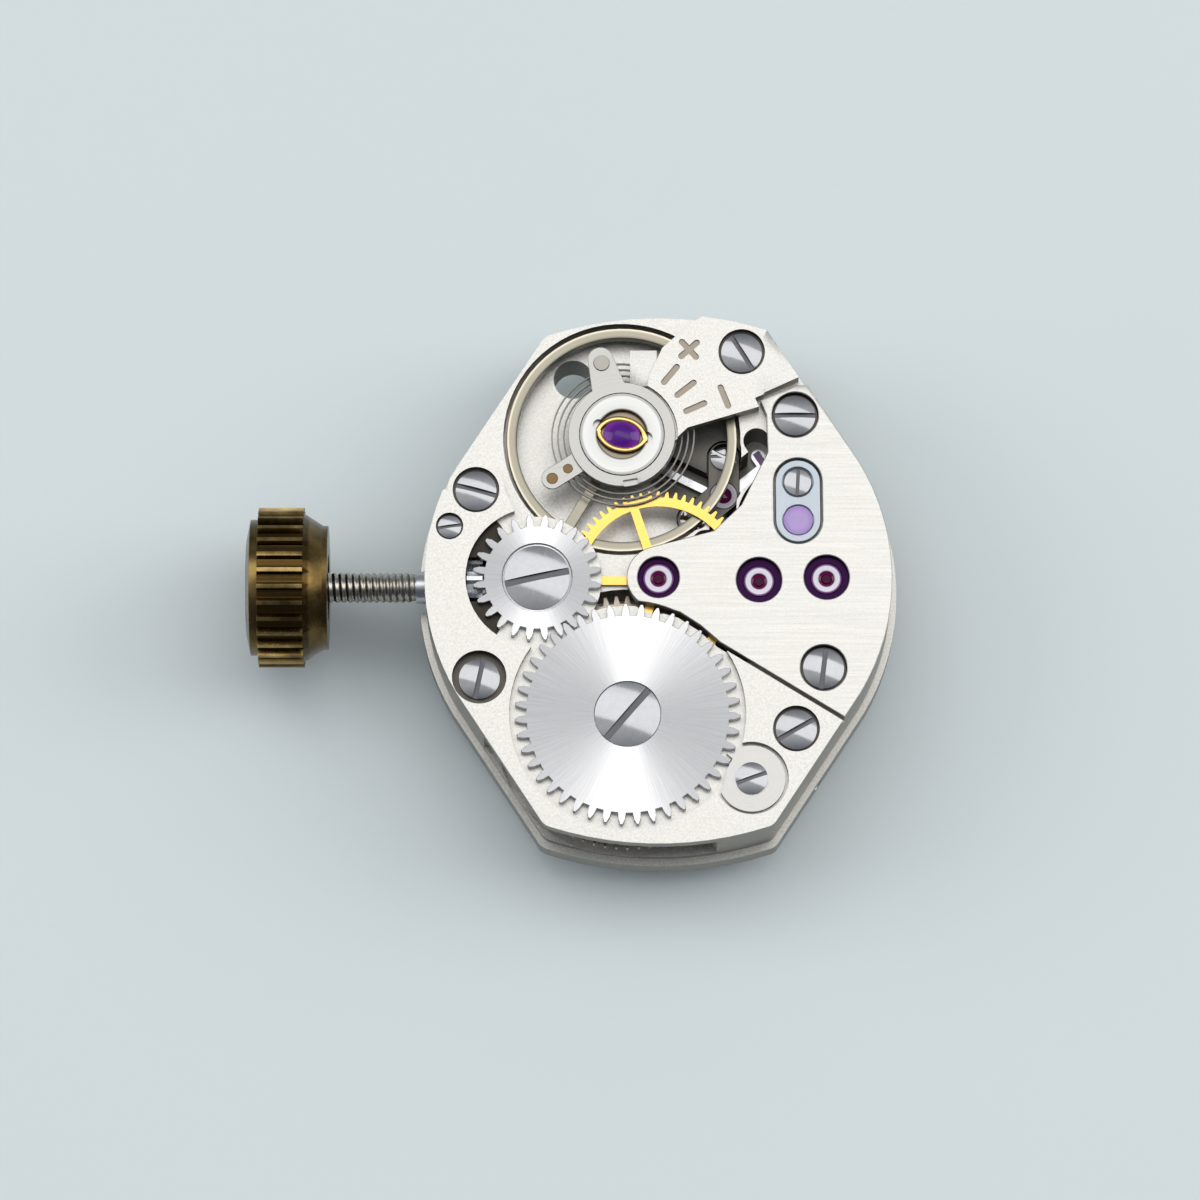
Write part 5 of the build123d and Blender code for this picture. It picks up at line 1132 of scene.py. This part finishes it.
class MOVEMENT_OT_train(bpy.types.Operator):
    """Finish the going train: gilt wheels, polished pinions and the barrel"""

    bl_idname = "movement.train"
    bl_label = "Going train and barrel"

    def execute(self, context):
        gilt = colours().gilt
        for node, at in (("centre_wheel", CENTRE), ("third_wheel", THIRD), ("fourth_wheel", FOURTH)):
            dress(lathe_steel("gilt_" + node, at, gilt, 0.24), node)
        dress(lathe_steel("dark_barrel", BARREL, colours().barrel, 0.30), "barrel_drum", "barrel_cover")
        dress(lathe_steel("turned_escape_wheel", ESCAPE, colours().steel, 0.22), "escape_wheel")
        pinion = worked_metal("polished_pinion", colours().steel, 0.16)
        dress(pinion, "escape_pinion", "pallet_arbor", "cannon_pinion")
        dress(jewelled_pinion(), "centre_pinion", "third_pinion", "fourth_pinion")
        dress(worked_metal("gilt_worked", gilt, 0.28), "hour_wheel")
        return {"FINISHED"}


class MOVEMENT_OT_escapement(bpy.types.Operator):
    """Finish the balance, the pallets, the index and the shock settings"""

    bl_idname = "movement.escapement"
    bl_label = "Balance and escapement"

    def execute(self, context):
        bevel = sizes().wheel_bevel
        dress(balance_brass(), "balance_wheel", bevel=bevel)
        index = lathe_steel("brushed_index", BALANCE, colours().index, 0.32)
        dress(index, "regulator_index", "stud_carrier", bevel=bevel)
        steel = worked_metal("polished_lever", colours().steel, 0.18)
        dress(steel, "pallet_fork", "balance_staff", "balance_roller")
        grey = (0.26, 0.25, 0.23)
        dress(worked_metal("stud_steel", grey, 0.24), "hairspring_stud")
        dress(worked_metal("hairspring_steel", grey, 0.48), "hairspring")
        dress(worked_metal("pale_steel", (0.38, 0.42, 0.46), 0.36), "endstone_plate", bevel=0.05)
        dress(worked_metal("brass_pins", (0.15, 0.10, 0.05), 0.30), "curb_pins", "hairspring_collet")
        dress(setting_steel(), "shock_blocks", bevel=bevel)
        return {"FINISHED"}


class MOVEMENT_OT_lyres(bpy.types.Operator):
    """Bend the gold lyre springs over the cap jewels"""

    bl_idname = "movement.lyres"
    bl_label = "Lyre springs"

    def execute(self, context):
        low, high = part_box("shock_springs")
        half = sizes().lyre_wire / 2
        levels = (high.z / MM - half, low.z / MM + half)
        paths = [lyre_path(BALANCE, level, *LYRE_SHAPE) for level in levels]
        wires = [wire_round(path, half, LYRE_BROADNESS) for path in paths]
        lyres = mesh_piece("lyre_springs", *joined(wires))
        wear(lyres, worked_metal("lyre_gold", (0.86, 0.56, 0.20), 0.16))
        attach(lyres, "movement")
        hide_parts("shock_springs")
        return {"FINISHED"}


class MOVEMENT_OT_jewels(bpy.types.Operator):
    """Set the rubies, the purple cap jewels and the lavender end-stone"""

    bl_idname = "movement.jewels"
    bl_label = "Jewels"

    def execute(self, context):
        dress(train_ruby(), "train_jewels")
        dress(gem("cap_ruby", (0.085, 0.008, 0.22), (0.22, 0.030, 0.40), (BALANCE,), 0.62, 0.24),
              "shock_cap_jewels", "shock_hole_jewels")
        dress(gem("endstone_lavender", (0.50, 0.36, 0.70), (0.40, 0.26, 0.60), (ESCAPE,), 0.50),
              "escape_endstone")
        dress(gem("pallet_ruby", (0.55, 0.34, 0.72), (0.42, 0.16, 0.55), (PALLET,), 2.2),
              "pallet_stones", "impulse_pin")
        return {"FINISHED"}


class MOVEMENT_OT_crown(bpy.types.Operator):
    """Age the crown's brass and cut the stem's thread"""

    bl_idname = "movement.crown"
    bl_label = "Crown and stem thread"

    def execute(self, context):
        dress(crown_brass(), "crown", bevel=0.05)
        surface = thread_surface(*THREAD_ENDS, sizes().thread_root, sizes().thread_depth,
                                 sizes().thread_pitch)
        thread = mesh_piece("stem_thread", *surface)
        wear(thread, worked_metal("thread_steel", (0.40, 0.385, 0.35), 0.26))
        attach(thread, "stem")
        return {"FINISHED"}


class MOVEMENT_PT_panel(bpy.types.Panel):
    """The movement's sizes, colours and steps"""

    bl_idname = "MOVEMENT_PT_panel"
    bl_label = "Watch movement"
    bl_space_type = "VIEW_3D"
    bl_region_type = "UI"
    bl_category = "Movement"

    def draw(self, context):
        for holder in (context.scene.movement_sizes, context.scene.movement_colours):
            for name in holder.__class__.__annotations__:
                self.layout.prop(holder, name)
        for step in STEPS:
            self.layout.operator(step.bl_idname)


STEPS = (
    MOVEMENT_OT_plates,
    MOVEMENT_OT_cock,
    MOVEMENT_OT_screws,
    MOVEMENT_OT_winding,
    MOVEMENT_OT_train,
    MOVEMENT_OT_escapement,
    MOVEMENT_OT_lyres,
    MOVEMENT_OT_jewels,
    MOVEMENT_OT_crown,
    MOVEMENT_OT_stage,
)
CLASSES = (MovementSizes, MovementColours) + STEPS + (MOVEMENT_PT_panel,)


def register():
    for item in CLASSES:
        bpy.utils.register_class(item)
    bpy.types.Scene.movement_sizes = PointerProperty(type=MovementSizes)
    bpy.types.Scene.movement_colours = PointerProperty(type=MovementColours)


def unregister():
    del bpy.types.Scene.movement_colours
    del bpy.types.Scene.movement_sizes
    for item in reversed(CLASSES):
        bpy.utils.unregister_class(item)


def main():
    register()
    build_groups()
    for step in STEPS:
        family, name = step.bl_idname.split(".")
        getattr(getattr(bpy.ops, family), name)()


if __name__ == "__main__":
    main()
